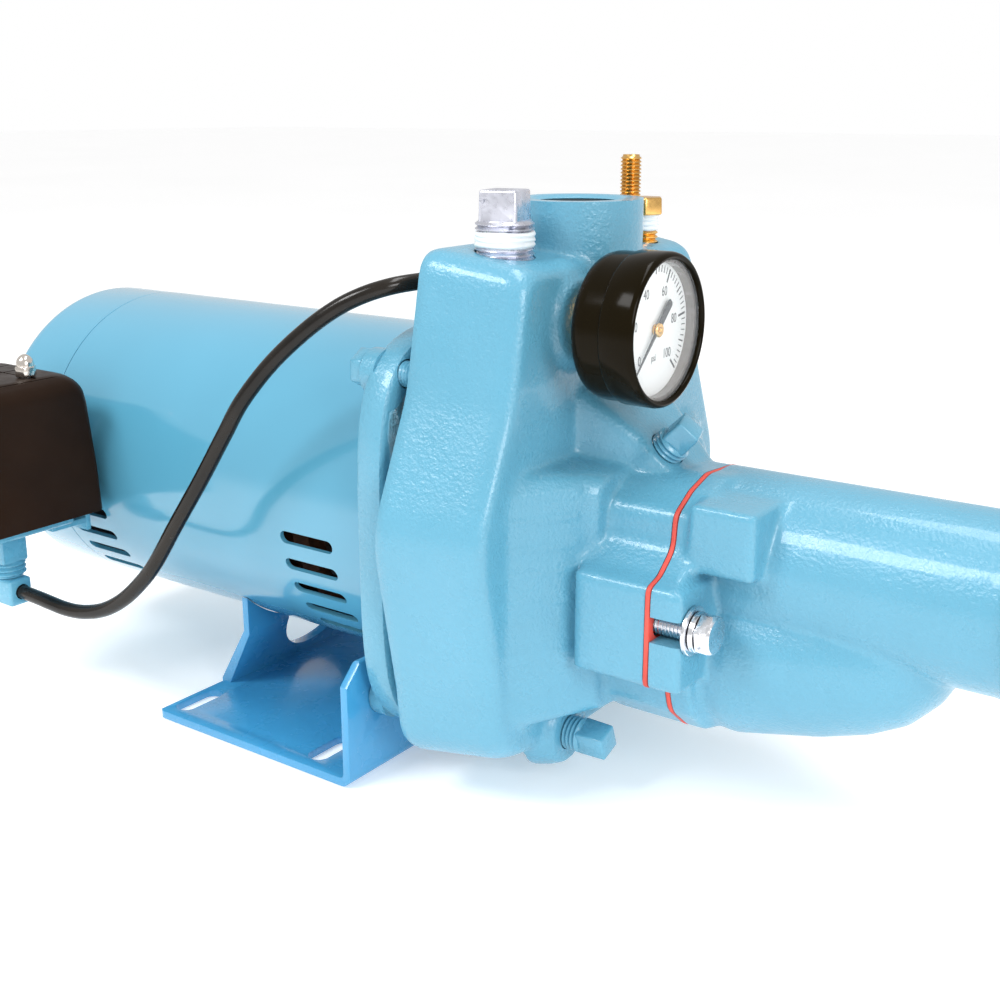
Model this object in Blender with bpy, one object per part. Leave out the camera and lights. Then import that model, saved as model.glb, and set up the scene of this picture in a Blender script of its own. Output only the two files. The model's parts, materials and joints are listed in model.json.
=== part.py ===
"""Shallow well jet pump: motor on a stamped foot, cast casing, bolted ejector, gauge and pressure switch.

The origin is the centre of the foot's underside. +Z is up and +X runs along the shaft from the motor to
the suction port. Lengths below are millimetres; each mesh is scaled to metres when its object is made.
Heights called "rise" are measured from the shaft's centreline.
"""

import math

import bmesh
import bpy
from mathutils import Matrix, Vector

MM = 0.001
GAP = 0.3  # left between pieces that touch

# Foot: a stamped channel with a full-width front upright and a leaning rear saddle.
SHAFT_HEIGHT = 94.5
FOOT_LENGTH = 107.5
FOOT_WIDTH = 167.0
FOOT_PLATE = 3.2
FOOT_UPRIGHT_RISE = 49.0
FOOT_CHAMFER = 8.0
SADDLE_WIDTH = 94.0
SADDLE_LEAN = 15.5
SADDLE_BEND_HEIGHT = 30.0
SADDLE_NOTCH_RADIUS = 23.0
SLOT_LENGTH = 23.0
SLOT_WIDTH = 9.0
SLOT_INSET_Y = 16.5
REAR_SLOT_INSET = 7.5
FRONT_SLOT_INSET = 24.2

# Motor: rolled shell, pressed rear cover, cast front flange.
SHELL_RADIUS = 67.6
SHELL_WALL = 1.9
SHELL_LENGTH = 187.2
COVER_LENGTH = 39.0
FLANGE_DEPTH = 15.5
FLANGE_HALF = 80.0
FLANGE_POWER = 4.4
FLANGE_BOLT_SPREAD = 64.0
VENT_LENGTH = 27.0
VENT_WIDTH = 5.2
VENT_INSET = 19.8
REAR_VENT_INSET = 5.3
VENT_FIRST_ANGLE = 6.5
VENT_PITCH_ANGLE = 10.0
VENT_ROWS = 5
CORE_FRONT_SPACE = 64.0
CORE_REAR_SPACE = 51.5
AIR_GAP = 0.6
ROTOR_RADIUS = 37.0
SHAFT_RADIUS = 8.0
SHAFT_TIP_RADIUS = 6.3
BEARING_WIDTH = 11.0
BEARING_RADIUS = 20.0
FAN_BLADES = 6

# Casing: a cast box around the volute, with the discharge boss on top and a neck for the ejector.
CASING_GAP = 8.0
CASING_DEPTH = 37.5
CASING_WALL = 6.0
CASING_TOP_RISE = 105.5
VOLUTE_RADIUS = 60.0
BOSS_RADIUS = 23.8
BOSS_STAND = 14.4
DISCHARGE_BORE = 15.4
DISCHARGE_MOUTH = 16.9
NECK_REACH = 44.2
NOSE_REACH = 16.0
LUG_HALF_WIDTH = 52.0
LUG_LENGTH = 28.0
EYE_BORE = 16.4
RETURN_BORE = 11.0
RETURN_DROP = 36.0

# Small fittings in the casing: (thread radius, depth) and where each one stands.
PRIMING_Y = -41.0
PRIMING_THREAD = 10.2
BRASS_PLUG_Y = 40.0
BRASS_PLUG_THREAD = 5.1
STUD_Y = 51.7
STUD_RADIUS = 4.1
STUD_STAND = 28.0
DRAIN_Y = -33.0
DRAIN_DROP = 72.0
DRAIN_THREAD = 6.6
TAPPING_THREAD = 6.6

# Ejector: suction tube in line with the shaft, over the drive-water chamber.
GASKET_THICKNESS = 1.6
EJECTOR_LENGTH = 130.0
TUBE_RADIUS = 29.5
SUCTION_MOUTH = 20.4
SUCTION_BORE = 16.4
CHAMBER_RADIUS = 31.0
EAR_DEPTH = 11.2
EJECTOR_BOLT_Y = 44.5
EJECTOR_BOLT_DROP = 15.0
EJECTOR_BOLT_RADIUS = 3.9
EJECTOR_HEX = 12.7

# Pressure gauge.
GAUGE_Y = -28.6
GAUGE_RISE = 80.5
GAUGE_RADIUS = 25.85
GAUGE_DEPTH = 23.4
GAUGE_STAND = 10.0
GAUGE_BOSS_RADIUS = 15.2
POINTER_LENGTH = 18.0

# Pressure switch beside the motor.
SWITCH_X = -124.0
SWITCH_Y = -99.0
SWITCH_LENGTH = 63.0
SWITCH_WIDTH = 54.5
SWITCH_BASE_HEIGHT = 81.0
SWITCH_COVER_HEIGHT = 59.3
SWITCH_WALL = 2.0
RANGE_STUD_X = 17.0
RANGE_STUD_Y = 5.6
FITTING_HEIGHT = 46.6
LEVER_HALF_LENGTH = 14.0

# Sensing tube: its route from the switch's elbow, past the motor's side, to the back of the casing.
TUBE_OUTER_RADIUS = 3.0
TUBE_ROUTE = (
    (-120.0, -99.0, 46.7), (-106.0, -99.0, 46.2), (-98.0, -99.0, 45.7), (-87.5, -98.7, 45.2),
    (-77.1, -98.0, 46.1), (-65.5, -97.1, 49.5), (-54.6, -96.0, 55.7), (-44.4, -95.0, 64.4),
    (-35.3, -94.0, 74.5), (-23.9, -92.0, 91.8), (-10.0, -90.0, 111.9), (2.0, -88.0, 130.6),
    (10.0, -86.0, 143.6), (21.1, -82.0, 157.6), (33.1, -77.0, 169.5), (43.5, -72.0, 177.9),
    (52.2, -67.0, 183.0), (60.3, -60.0, 186.2), (65.2, -48.0, 187.2), (66.9, -38.0, 187.2),
    (67.3, -29.6, 187.2),
)

# Stations along the shaft that follow from the sizes above.
MOTOR_FRONT = FOOT_LENGTH / 2 + GAP
SHELL_BACK = MOTOR_FRONT - GAP - SHELL_LENGTH
FLANGE_FRONT = MOTOR_FRONT + FLANGE_DEPTH
CASING_BACK = FLANGE_FRONT + CASING_GAP
CASING_FRONT = CASING_BACK + CASING_DEPTH
DISCHARGE_X = (CASING_BACK + CASING_FRONT) / 2 + 2.5
NECK_FACE = CASING_FRONT + NECK_REACH
EJECTOR_BACK = NECK_FACE + GASKET_THICKNESS + 2 * GAP
EJECTOR_END = EJECTOR_BACK + EJECTOR_LENGTH
SHELL_INSIDE = SHELL_RADIUS - SHELL_WALL
STATOR_FRONT = MOTOR_FRONT - CORE_FRONT_SPACE
STATOR_BACK = SHELL_BACK + CORE_REAR_SPACE
CASING_TOP = SHAFT_HEIGHT + CASING_TOP_RISE
BOSS_TOP = CASING_TOP + BOSS_STAND
CAVITY_FRONT = CASING_FRONT - CASING_WALL
GAUGE_BOSS_FACE = CASING_FRONT + 4.0
GAUGE_BACK = GAUGE_BOSS_FACE + GAUGE_STAND
GAUGE_FRONT = GAUGE_BACK + GAUGE_DEPTH
GAUGE_HEIGHT = SHAFT_HEIGHT + GAUGE_RISE
COVER_INSIDE_Z = SWITCH_BASE_HEIGHT + SWITCH_COVER_HEIGHT - SWITCH_WALL
FITTING_BLOCK_X = CASING_BACK - 10.3

BLUE_CAST = ("blue_cast_paint", (0.20, 0.52, 0.72), 0.38, 0.0)
BLUE_SHEET = ("blue_sheet_paint", (0.17, 0.47, 0.69), 0.28, 0.0)
DARK_STEEL = ("dark_steel", (0.10, 0.11, 0.12), 0.5, 0.8)
BRIGHT_STEEL = ("bright_steel", (0.62, 0.62, 0.60), 0.3, 1.0)
ZINC = ("zinc_plate", (0.72, 0.74, 0.76), 0.28, 1.0)
BRASS = ("brass", (0.70, 0.50, 0.20), 0.32, 1.0)
COPPER = ("copper_wire", (0.55, 0.25, 0.12), 0.4, 0.9)
BLACK_ENAMEL = ("black_enamel", (0.015, 0.013, 0.012), 0.18, 0.0)
BROWN_PLASTIC = ("brown_plastic", (0.055, 0.035, 0.022), 0.45, 0.0)
BLACK_TUBE = ("black_tube", (0.02, 0.02, 0.02), 0.35, 0.0)
RED_RUBBER = ("red_rubber", (0.62, 0.16, 0.12), 0.7, 0.0)
WHITE_ENAMEL = ("white_enamel", (0.92, 0.92, 0.90), 0.35, 0.0)
CLEAR_LENS = ("clear_lens", (0.95, 0.97, 1.0), 0.05, 0.0)
BLACK_PLASTIC = ("black_plastic", (0.03, 0.03, 0.03), 0.5, 0.0)
IVORY_PLASTIC = ("ivory_plastic", (0.75, 0.70, 0.58), 0.45, 0.0)
CERAMIC = ("ceramic", (0.85, 0.84, 0.80), 0.3, 0.0)


def clear_scene():
    for obj in list(bpy.data.objects):
        bpy.data.objects.remove(obj)


def material(recipe):
    name, colour, roughness, metallic = recipe
    found = bpy.data.materials.get(name)
    if found:
        return found
    made = bpy.data.materials.new(name)
    made.use_nodes = True
    shader = made.node_tree.nodes["Principled BSDF"]
    shader.inputs["Base Color"].default_value = (*colour, 1.0)
    shader.inputs["Roughness"].default_value = roughness
    shader.inputs["Metallic"].default_value = metallic
    return made


def to_object(name, bm):
    """An object from a bmesh in millimetres, with its faces pointing outwards and its scale applied."""
    bmesh.ops.remove_doubles(bm, verts=bm.verts, dist=1e-4)
    bmesh.ops.recalc_face_normals(bm, faces=bm.faces)
    bmesh.ops.scale(bm, vec=(MM, MM, MM), verts=bm.verts)
    mesh = bpy.data.meshes.new(name)
    bm.to_mesh(mesh)
    bm.free()
    obj = bpy.data.objects.new(name, mesh)
    bpy.context.scene.collection.objects.link(obj)
    return obj


def node(name, bm, recipe, parent=None):
    """A finished sub-part, smooth where its faces meet at a shallow angle."""
    obj = to_object(name, bm)
    obj.data.materials.append(material(recipe))
    obj.data.shade_smooth()
    obj.data.set_sharp_from_angle(angle=math.radians(35))
    if parent:
        obj.parent = parent
        obj.matrix_parent_inverse = parent.matrix_world.inverted()
    return obj


def tool(name, bm):
    """A hidden shape that another object's Boolean uses."""
    obj = to_object(name, bm)
    obj.hide_render = True
    obj.display_type = "WIRE"
    return obj


def apply_shapes(obj, operation, shapes):
    for number, shape in enumerate(shapes):
        name = f"{obj.name}_{operation.lower()}_{number}"
        modifier = obj.modifiers.new(name, "BOOLEAN")
        modifier.operation = operation
        modifier.solver = "EXACT"
        modifier.object = tool(name, shape)


def join(obj, *shapes):
    apply_shapes(obj, "UNION", shapes)


def cut(obj, *shapes):
    apply_shapes(obj, "DIFFERENCE", shapes)


def block(x, y, z):
    bm = bmesh.new()
    bmesh.ops.create_cube(bm, size=1.0)
    spans = [b - a for a, b in (x, y, z)]
    middle = [(a + b) / 2 for a, b in (x, y, z)]
    bmesh.ops.scale(bm, vec=spans, verts=bm.verts)
    bmesh.ops.translate(bm, vec=middle, verts=bm.verts)
    return bm


def bevelled(bm, width, segments=2):
    bmesh.ops.bevel(bm, geom=bm.edges[:], offset=width, segments=segments, affect="EDGES", profile=0.5)
    return bm


def turned(profile, centre=(0.0, 0.0, 0.0), direction=(1.0, 0.0, 0.0), steps=32):
    """A solid of revolution. The profile is a closed outline of (along, radius) points."""
    bm = bmesh.new()
    ring = [bm.verts.new((along, radius, 0.0)) for along, radius in profile]
    edges = [bm.edges.new(pair) for pair in zip(ring, ring[1:] + ring[:1])]
    bmesh.ops.spin(
        bm, geom=ring + edges, cent=(0, 0, 0), axis=(1, 0, 0), angle=math.tau, steps=steps, use_merge=True
    )
    bmesh.ops.remove_doubles(bm, verts=bm.verts, dist=1e-4)
    loose = [edge for edge in bm.edges if not edge.link_faces]
    bmesh.ops.delete(bm, geom=loose, context="EDGES")
    bm.transform(Vector((1, 0, 0)).rotation_difference(Vector(direction)).to_matrix().to_4x4())
    bmesh.ops.translate(bm, vec=centre, verts=bm.verts)
    return bm


def rod(start, end, radius, centre=(0.0, 0.0, 0.0), direction=(1.0, 0.0, 0.0), steps=24):
    return turned([(start, 0), (end, 0), (end, radius), (start, radius)], centre, direction, steps)


def ring(start, end, inner, outer, centre=(0.0, 0.0, 0.0), direction=(1.0, 0.0, 0.0), steps=32):
    outline = [(start, inner), (end, inner), (end, outer), (start, outer)]
    return turned(outline, centre, direction, steps)


def many_sided(start, end, across_flats, sides, centre, direction=(1.0, 0.0, 0.0), turn=0.0):
    """A bolt head: a prism given by its size across the flats."""
    bm = bmesh.new()
    radius = across_flats / 2 / math.cos(math.pi / sides)
    bmesh.ops.create_cone(
        bm, cap_ends=True, segments=sides, radius1=radius, radius2=radius, depth=end - start
    )
    bm.transform(Matrix.Rotation(math.radians(turn) + math.pi / sides, 4, "Z"))
    bmesh.ops.translate(bm, vec=(0, 0, (start + end) / 2), verts=bm.verts)
    bm.transform(Vector((0, 0, 1)).rotation_difference(Vector(direction)).to_matrix().to_4x4())
    bmesh.ops.translate(bm, vec=centre, verts=bm.verts)
    return bm


def loft(rings, through=False):
    """A solid through rings that hold the same number of points; a through one is a ring itself."""
    bm = bmesh.new()
    loops = [[bm.verts.new(point) for point in ring_points] for ring_points in rings]
    for near, far in zip(loops, loops[1:] + loops[:1] * through):
        for i in range(len(near)):
            j = (i + 1) % len(near)
            bm.faces.new((near[i], near[j], far[j], far[i]))
    if not through:
        bm.faces.new(loops[0])
        bm.faces.new(loops[-1])
    return bm


def prism(outline, start, end, place):
    """An outline of (a, b) points extruded from start to end; place(a, b, depth) gives each corner."""
    return loft([[place(a, b, depth) for a, b in outline] for depth in (start, end)])


def along_x(y, z, x):
    return (x, y, z)


def along_y(x, z, y):
    return (x, y, z)


def along_z(x, y, z):
    return (x, y, z)


def rounded(corners, steps=3):
    """An outline whose (a, b, radius) corners are replaced by arcs."""
    outline = []
    for i, (a, b, radius) in enumerate(corners):
        here = Vector((a, b))
        before = (Vector(corners[i - 1][:2]) - here).normalized()
        after = (Vector(corners[(i + 1) % len(corners)][:2]) - here).normalized()
        if radius <= 0:
            outline.append((a, b))
            continue
        half = before.angle(after) / 2
        centre = here + (before + after).normalized() * radius / math.sin(half)
        first = here + before * radius / math.tan(half) - centre
        last = here + after * radius / math.tan(half) - centre
        sweep = first.angle_signed(last)
        for k in range(steps + 1):
            arm = first.copy()
            arm.rotate(Matrix.Rotation(-sweep * k / steps, 2))
            outline.append(tuple(centre + arm))
    return outline


def mirrored(half):
    """Both sides of an outline given by its corners with a >= 0, from top to bottom."""
    return half + [(-a, b, radius) for a, b, radius in reversed(half)]


def rounded_box_outline(a, b, radius, steps=4):
    corners = [(a[1], b[1], radius), (a[1], b[0], radius), (a[0], b[0], radius), (a[0], b[1], radius)]
    return rounded(corners, steps)


def slot_cutter(centre_x, centre_y, length, width, low, high, steps=4):
    half = width / 2
    outline = rounded_box_outline(
        (centre_x - half, centre_x + half),
        (centre_y - length / 2, centre_y + length / 2),
        half * 0.999,
        steps,
    )
    return prism(outline, low, high, along_z)


def shaft_point(x, y=0.0, rise=0.0):
    return (x, y, SHAFT_HEIGHT + rise)


# ---------------------------------------------------------------- foot and motor


def foot():
    half, plate = FOOT_LENGTH / 2, FOOT_PLATE
    bend = 4.0
    profile = rounded([
        (-half, plate, 0), (-half, 0, bend * 0.5), (half, 0, bend),
        (half, FOOT_UPRIGHT_RISE, 0), (half - plate, FOOT_UPRIGHT_RISE, 0), (half - plate, plate, bend - 2),
    ])
    side = FOOT_WIDTH / 2
    foot_obj = node("foot", prism(profile, -side, side, along_y), BLUE_SHEET)
    lean, bend_z = SADDLE_LEAN, SADDLE_BEND_HEIGHT
    rise = SHAFT_HEIGHT
    saddle = [
        (-half, 0.4), (-half, plate + 1), (-half + lean, bend_z), (-half + lean, rise),
        (-half + lean + plate, rise), (-half + lean + plate, bend_z - 1), (-half + plate * 1.4, plate - 1),
        (-half + plate * 1.4, 0.4),
    ]
    join(foot_obj, prism(saddle, -SADDLE_WIDTH / 2, SADDLE_WIDTH / 2, along_y))
    notch = rod(-half - 5, 0, SADDLE_NOTCH_RADIUS, (0, 0, SADDLE_BEND_HEIGHT + 1), steps=40)
    bore = rod(-half - 5, half + 5, SHELL_RADIUS + GAP, shaft_point(0), steps=56)
    over = block((-half - 5, 0), (-side, side), (SHAFT_HEIGHT - 48, SHAFT_HEIGHT + 1))
    cut(foot_obj, notch, bore, over)
    for sign in (-1, 1):
        outline = [
            (sign * (side + 1), FOOT_UPRIGHT_RISE - FOOT_CHAMFER - 1),
            (sign * (side + 1), FOOT_UPRIGHT_RISE + 1),
            (sign * (side - FOOT_CHAMFER - 1), FOOT_UPRIGHT_RISE + 1),
        ]
        cut(foot_obj, prism(outline, half - plate - 1, half + 1, along_x))
        bolt_y, bolt_rise = FLANGE_BOLT_SPREAD, 1.5 - FLANGE_BOLT_SPREAD
        hole = rod(half - plate - 3, half + 3, 5.2, shaft_point(0, sign * bolt_y, bolt_rise), steps=16)
        cut(foot_obj, hole)
        for x in (-half + REAR_SLOT_INSET, half - FRONT_SLOT_INSET):
            cut(foot_obj, slot_cutter(x, sign * (side - SLOT_INSET_Y), SLOT_LENGTH, SLOT_WIDTH, -2, plate + 2))


def vent_cutters():
    """One slotted group at each end of the shell, on both sides, stepping round below the middle."""
    front = MOTOR_FRONT - VENT_INSET - VENT_LENGTH / 2
    back = SHELL_BACK + REAR_VENT_INSET + VENT_LENGTH / 2
    for x in (front, back):
        for side in (-1, 1):
            for row in range(VENT_ROWS):
                angle = math.radians(VENT_FIRST_ANGLE + VENT_PITCH_ANGLE * row)
                bm = slot_cutter(0, 0, VENT_LENGTH, VENT_WIDTH, SHELL_RADIUS - 12, SHELL_RADIUS + 4, 2)
                bm.transform(Matrix.Rotation(math.pi / 2, 4, "Z"))
                bm.transform(Matrix.Rotation(side * -(math.pi / 2 + angle), 4, "X"))
                bmesh.ops.translate(bm, vec=shaft_point(x), verts=bm.verts)
                yield bm


def motor_shell():
    shell = node("motor_shell", ring(
        SHELL_BACK, MOTOR_FRONT - GAP, SHELL_INSIDE, SHELL_RADIUS, shaft_point(0), steps=56
    ), BLUE_SHEET)
    cut(shell, *vent_cutters())


def rear_cover():
    back = SHELL_BACK - GAP - COVER_LENGTH
    front = SHELL_BACK - GAP
    r, w = SHELL_RADIUS, SHELL_WALL
    profile = [
        (front, r), (back + 7, r), (back + 3, r - 1.6), (back + 0.8, r - 4.5), (back, r - 9), (back, 0),
        (back + w, 0), (back + w, r - 9), (back + 3.2, r - 5), (back + 7, r - w), (front, r - w),
    ]
    cover = node("rear_cover", turned(profile, shaft_point(0), steps=44), BLUE_SHEET)
    entry = rod(back - 2, back + 4, 11.2, shaft_point(0, 0, -38), steps=24)
    cut(cover, entry)


def flange_outline(inset=0.0, count=48):
    """A square with bulging sides and round corners."""
    half = FLANGE_HALF - inset
    outline = []
    for i in range(count):
        angle = math.tau * i / count
        c, s = math.cos(angle), math.sin(angle)
        radius = (abs(c) ** FLANGE_POWER + abs(s) ** FLANGE_POWER) ** (-1 / FLANGE_POWER)
        outline.append((half * radius * c, SHAFT_HEIGHT + (half - 2) * radius * s))
    return outline


def flange_ring(x, inset):
    return [(x, y, z) for y, z in flange_outline(inset)]


def hole_ring(x, radius, count=48):
    turns = [math.tau * i / count for i in range(count)]
    return [shaft_point(x, radius * math.cos(turn), radius * math.sin(turn)) for turn in turns]


def motor_flange():
    back, front = MOTOR_FRONT, FLANGE_FRONT
    bm = loft([
        flange_ring(back, 1.0), flange_ring(back + 1.2, 0), flange_ring(front - 2.5, 0),
        flange_ring(front - 0.7, 0.9), flange_ring(front, 2.6),
        hole_ring(front, SHAFT_RADIUS + 5), hole_ring(back, SHAFT_RADIUS + 5),
    ], through=True)
    flange = node("motor_flange", bm, BLUE_CAST)
    rim, seat = SHELL_INSIDE - GAP, BEARING_RADIUS + GAP
    floor = back - 21 + BEARING_WIDTH + 2
    join(flange, turned([
        (back - 8, rim), (back + 4, rim), (back + 4, SHAFT_RADIUS + 3), (floor, SHAFT_RADIUS + 3),
        (floor, seat), (back - 21, seat), (back - 21, seat + 5.7), (back - 8, seat + 5.7),
    ], shaft_point(0), steps=32))
    for y, rise in corner_places():
        cut(flange, rod(back - 1, front + 1, 5.2, shaft_point(0, y, rise), steps=16))
        cut(flange, rod(back - 12, front + 1, 10, shaft_point(0, y * 0.62, rise * 0.62), steps=16))
        edge, turn = math.copysign(68.5, y), math.copysign(1.0, rise)
        window = rounded_box_outline((edge - 4, edge + 4), (-6.5, 6.5), 3.9)
        window = [(a, SHAFT_HEIGHT + turn * 46.5 + b) for a, b in window]
        cut(flange, prism(window, back - 1, front + 1, along_x))


def corner_places():
    spread = FLANGE_BOLT_SPREAD
    return [(y, rise) for y in (-spread, spread) for rise in (spread - 1.5, 1.5 - spread)]


def casing_bolts():
    names = ("near_top", "near_bottom", "far_top", "far_bottom")
    for name, (y, rise) in zip(names, corner_places()):
        centre = shaft_point(0, y, rise)
        seat = MOTOR_FRONT - (GAP if rise > 0 else FOOT_PLATE + 2 * GAP)
        head = many_sided(seat - 5.2, seat, 12.7, 6, centre)
        bolt = node(f"casing_bolt_{name}", head, BLUE_CAST)
        join(bolt, rod(seat - 1, CASING_BACK + 14, 4.7, centre, steps=20))


def motor_inside():
    """Stator, windings, bearings and the electrical pieces behind the rear bracket."""
    back, front = STATOR_BACK, STATOR_FRONT
    bore = ROTOR_RADIUS + AIR_GAP
    centre = shaft_point(0)
    node("stator_core", ring(back, front, bore, SHELL_INSIDE - GAP, centre, steps=48), DARK_STEEL)
    for name, start, end in (
        ("winding_front", front + GAP, front + 17), ("winding_rear", back - 17, back - GAP)
    ):
        low, high = bore + 4, SHELL_INSIDE - 7
        profile = [
            (start + 3, low), (end - 3, low), (end, low + 5), (end, high - 5), (end - 3, high),
            (start + 3, high), (start, high - 5), (start, low + 5),
        ]
        node(name, turned(profile, centre, steps=24), COPPER)
    bracket_x = SHELL_BACK + 1
    hub = BEARING_RADIUS - 3
    profile = [
        (bracket_x, SHELL_INSIDE - GAP), (bracket_x, 24), (bracket_x - 14, 21), (bracket_x - 14, 9.5),
        (bracket_x - 11.5, 9.5), (bracket_x - 11.5, hub + GAP), (bracket_x + 3, hub + GAP),
        (bracket_x + 3, SHELL_INSIDE - GAP),
    ]
    node("rear_bracket", turned(profile, centre, steps=32), DARK_STEEL)
    bearing("rear_bearing", bracket_x - 11, SHAFT_RADIUS - 0.5 + GAP, hub)
    bearing("front_bearing", MOTOR_FRONT - 20.5, SHAFT_RADIUS + GAP, BEARING_RADIUS)
    can_x = SHELL_BACK - 25
    node("capacitor", rod(-27, 27, 12.0, shaft_point(can_x, 0, 40), (0, 1, 0), 24), BLACK_PLASTIC)


def bearing(name, start, inner, outer):
    middle = (inner + outer) / 2
    end = start + BEARING_WIDTH
    profile = [
        (start, inner), (end, inner), (end, middle - 1.5), (end - 2, middle - 1.5), (end - 2, middle + 1.5),
        (end, middle + 1.5), (end, outer), (start, outer), (start, middle + 1.5), (start + 2, middle + 1.5),
        (start + 2, middle - 1.5), (start, middle - 1.5),
    ]
    node(name, turned(profile, shaft_point(0), steps=20), BRIGHT_STEEL)


# ---------------------------------------------------------------- turning pieces


def axis_empty(name, place):
    empty = bpy.data.objects.new(name, None)
    empty.location = [value * MM for value in place]
    bpy.context.scene.collection.objects.link(empty)
    bpy.context.view_layer.update()
    return empty


def rotor_pieces():
    axis = axis_empty("shaft_axis", shaft_point(0))
    centre = shaft_point(0)
    tail, tip = SHELL_BACK - 12, CASING_BACK + 22
    r, t = SHAFT_RADIUS, SHAFT_TIP_RADIUS
    shoulder = SHELL_BACK + 3
    profile = [
        (tail, 0), (tail, r - 0.5), (shoulder, r - 0.5), (shoulder, r), (FLANGE_FRONT - 1, r),
        (FLANGE_FRONT - 1, t), (tip, t), (tip, 0),
    ]
    node("shaft", turned(profile, centre, steps=24), BRIGHT_STEEL, axis)
    bore = r + GAP
    node("rotor_core", ring(STATOR_BACK, STATOR_FRONT, bore, ROTOR_RADIUS, centre, steps=40), DARK_STEEL, axis)
    fan_x = MOTOR_FRONT - 42
    fan = node("cooling_fan", ring(fan_x, fan_x + 3, bore, 36, centre, steps=32), BLACK_PLASTIC, axis)
    join(fan, ring(fan_x - 6, fan_x + 3, bore, 13, centre, steps=24))
    for k in range(FAN_BLADES):
        blade = block((fan_x + 2, fan_x + 15), (-1.2, 1.2), (18, 54))
        blade.transform(Matrix.Rotation(math.tau * k / FAN_BLADES, 4, "X"))
        bmesh.ops.translate(blade, vec=centre, verts=blade.verts)
        join(fan, blade)
    collar = SHELL_BACK + 13
    node("governor", turned([
        (collar, bore), (collar + 10, bore), (collar + 10, 17), (collar + 4, 24), (collar, 24)
    ], centre, steps=24), BRIGHT_STEEL, axis)
    seal_x = FLANGE_FRONT + 8.6
    node("seal_head", turned([
        (seal_x, t + GAP), (seal_x + 8, t + GAP), (seal_x + 8, 11), (seal_x + 5, 11), (seal_x + 4, 12.5),
        (seal_x, 12.5),
    ], centre, steps=24), BLACK_PLASTIC, axis)
    impeller(axis, CASING_BACK + 9.2)


def impeller(axis, back):
    """A closed impeller: two shrouds with six swept vanes between them, its eye facing the suction."""
    centre = shaft_point(0)
    radius = VOLUTE_RADIUS - 8
    web, width = 2.6, 11.0
    wheel = node("impeller", turned([
        (back, SHAFT_TIP_RADIUS + GAP), (back + 12.5, SHAFT_TIP_RADIUS + GAP), (back + 12.5, 11),
        (back + web + 1, 13), (back + web, radius), (back, radius),
    ], centre, steps=32), BLACK_PLASTIC, axis)
    front = back + width
    join(wheel, turned([
        (front - web, radius), (front, radius), (front, EYE_BORE + 5), (front + 4, EYE_BORE + 2.5),
        (front + 4, EYE_BORE - 0.5), (front - web, EYE_BORE + 1),
    ], centre, steps=32))
    for k in range(6):
        vane = block((back + web / 2, front - web / 2), (-1.3, 1.3), (19, radius - 2))
        vane.transform(Matrix.Translation((0, 0, 0)))
        bmesh.ops.bisect_plane(
            vane, geom=vane.verts[:] + vane.edges[:] + vane.faces[:],
            plane_co=(0, 0, radius * 0.62), plane_no=(0, 0, 1),
        )
        for vert in vane.verts:
            vert.co.y += 0.011 * (vert.co.z - 18) ** 2 * 0.9
        vane.transform(Matrix.Rotation(math.tau * k / 6, 4, "X"))
        bmesh.ops.translate(vane, vec=centre, verts=vane.verts)
        join(wheel, vane)


# ---------------------------------------------------------------- casing


def casing_corners(inset):
    """The casing seen along the shaft: narrow at the top, widest round the volute, square at the bottom."""
    half = [
        (62.5, CASING_TOP_RISE, 9), (72.0, 57.5, 55), (VOLUTE_RADIUS + 32.0, 11.5, 38), (81.0, -49.5, 30),
        (78.5, -75.5, 17), (36.0, -82.5, 40),
    ]
    middle = 8.0
    wide, tall = 1 - inset / 85, 1 - inset / 95
    return mirrored([(y * wide, middle + (rise - middle) * tall, radius) for y, rise, radius in half])


def casing_ring(x, inset):
    return [shaft_point(x, y, rise) for y, rise in rounded(casing_corners(inset))]


def neck_corners(grow=0.0):
    """The face that the gasket seals: the suction tube's arch, the bolt lugs and the chamber below."""
    half = [
        (12, 29.8, 9), (24, 26.2, 6), (34.5, 20.0, 5), (35.5, 8.5, 8), (44.5, 1.2, 6), (LUG_HALF_WIDTH, -0.8, 3),
        (LUG_HALF_WIDTH, -36.5, 3), (37, -39, 5), (33, -52, 12), (19, -63.5, 10),
    ]
    return mirrored([(y + grow, rise, radius) for y, rise, radius in half])


def neck_prism(start, end, grow=0.0):
    outline = [(y, SHAFT_HEIGHT + rise) for y, rise in rounded(neck_corners(grow), 3)]
    return prism(outline, start, end, along_x)


def box_ring(x, half_width, low, high, radius):
    outline = rounded_box_outline((-half_width, half_width), (low, high), radius)
    return [shaft_point(x, y, rise) for y, rise in outline]


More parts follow.
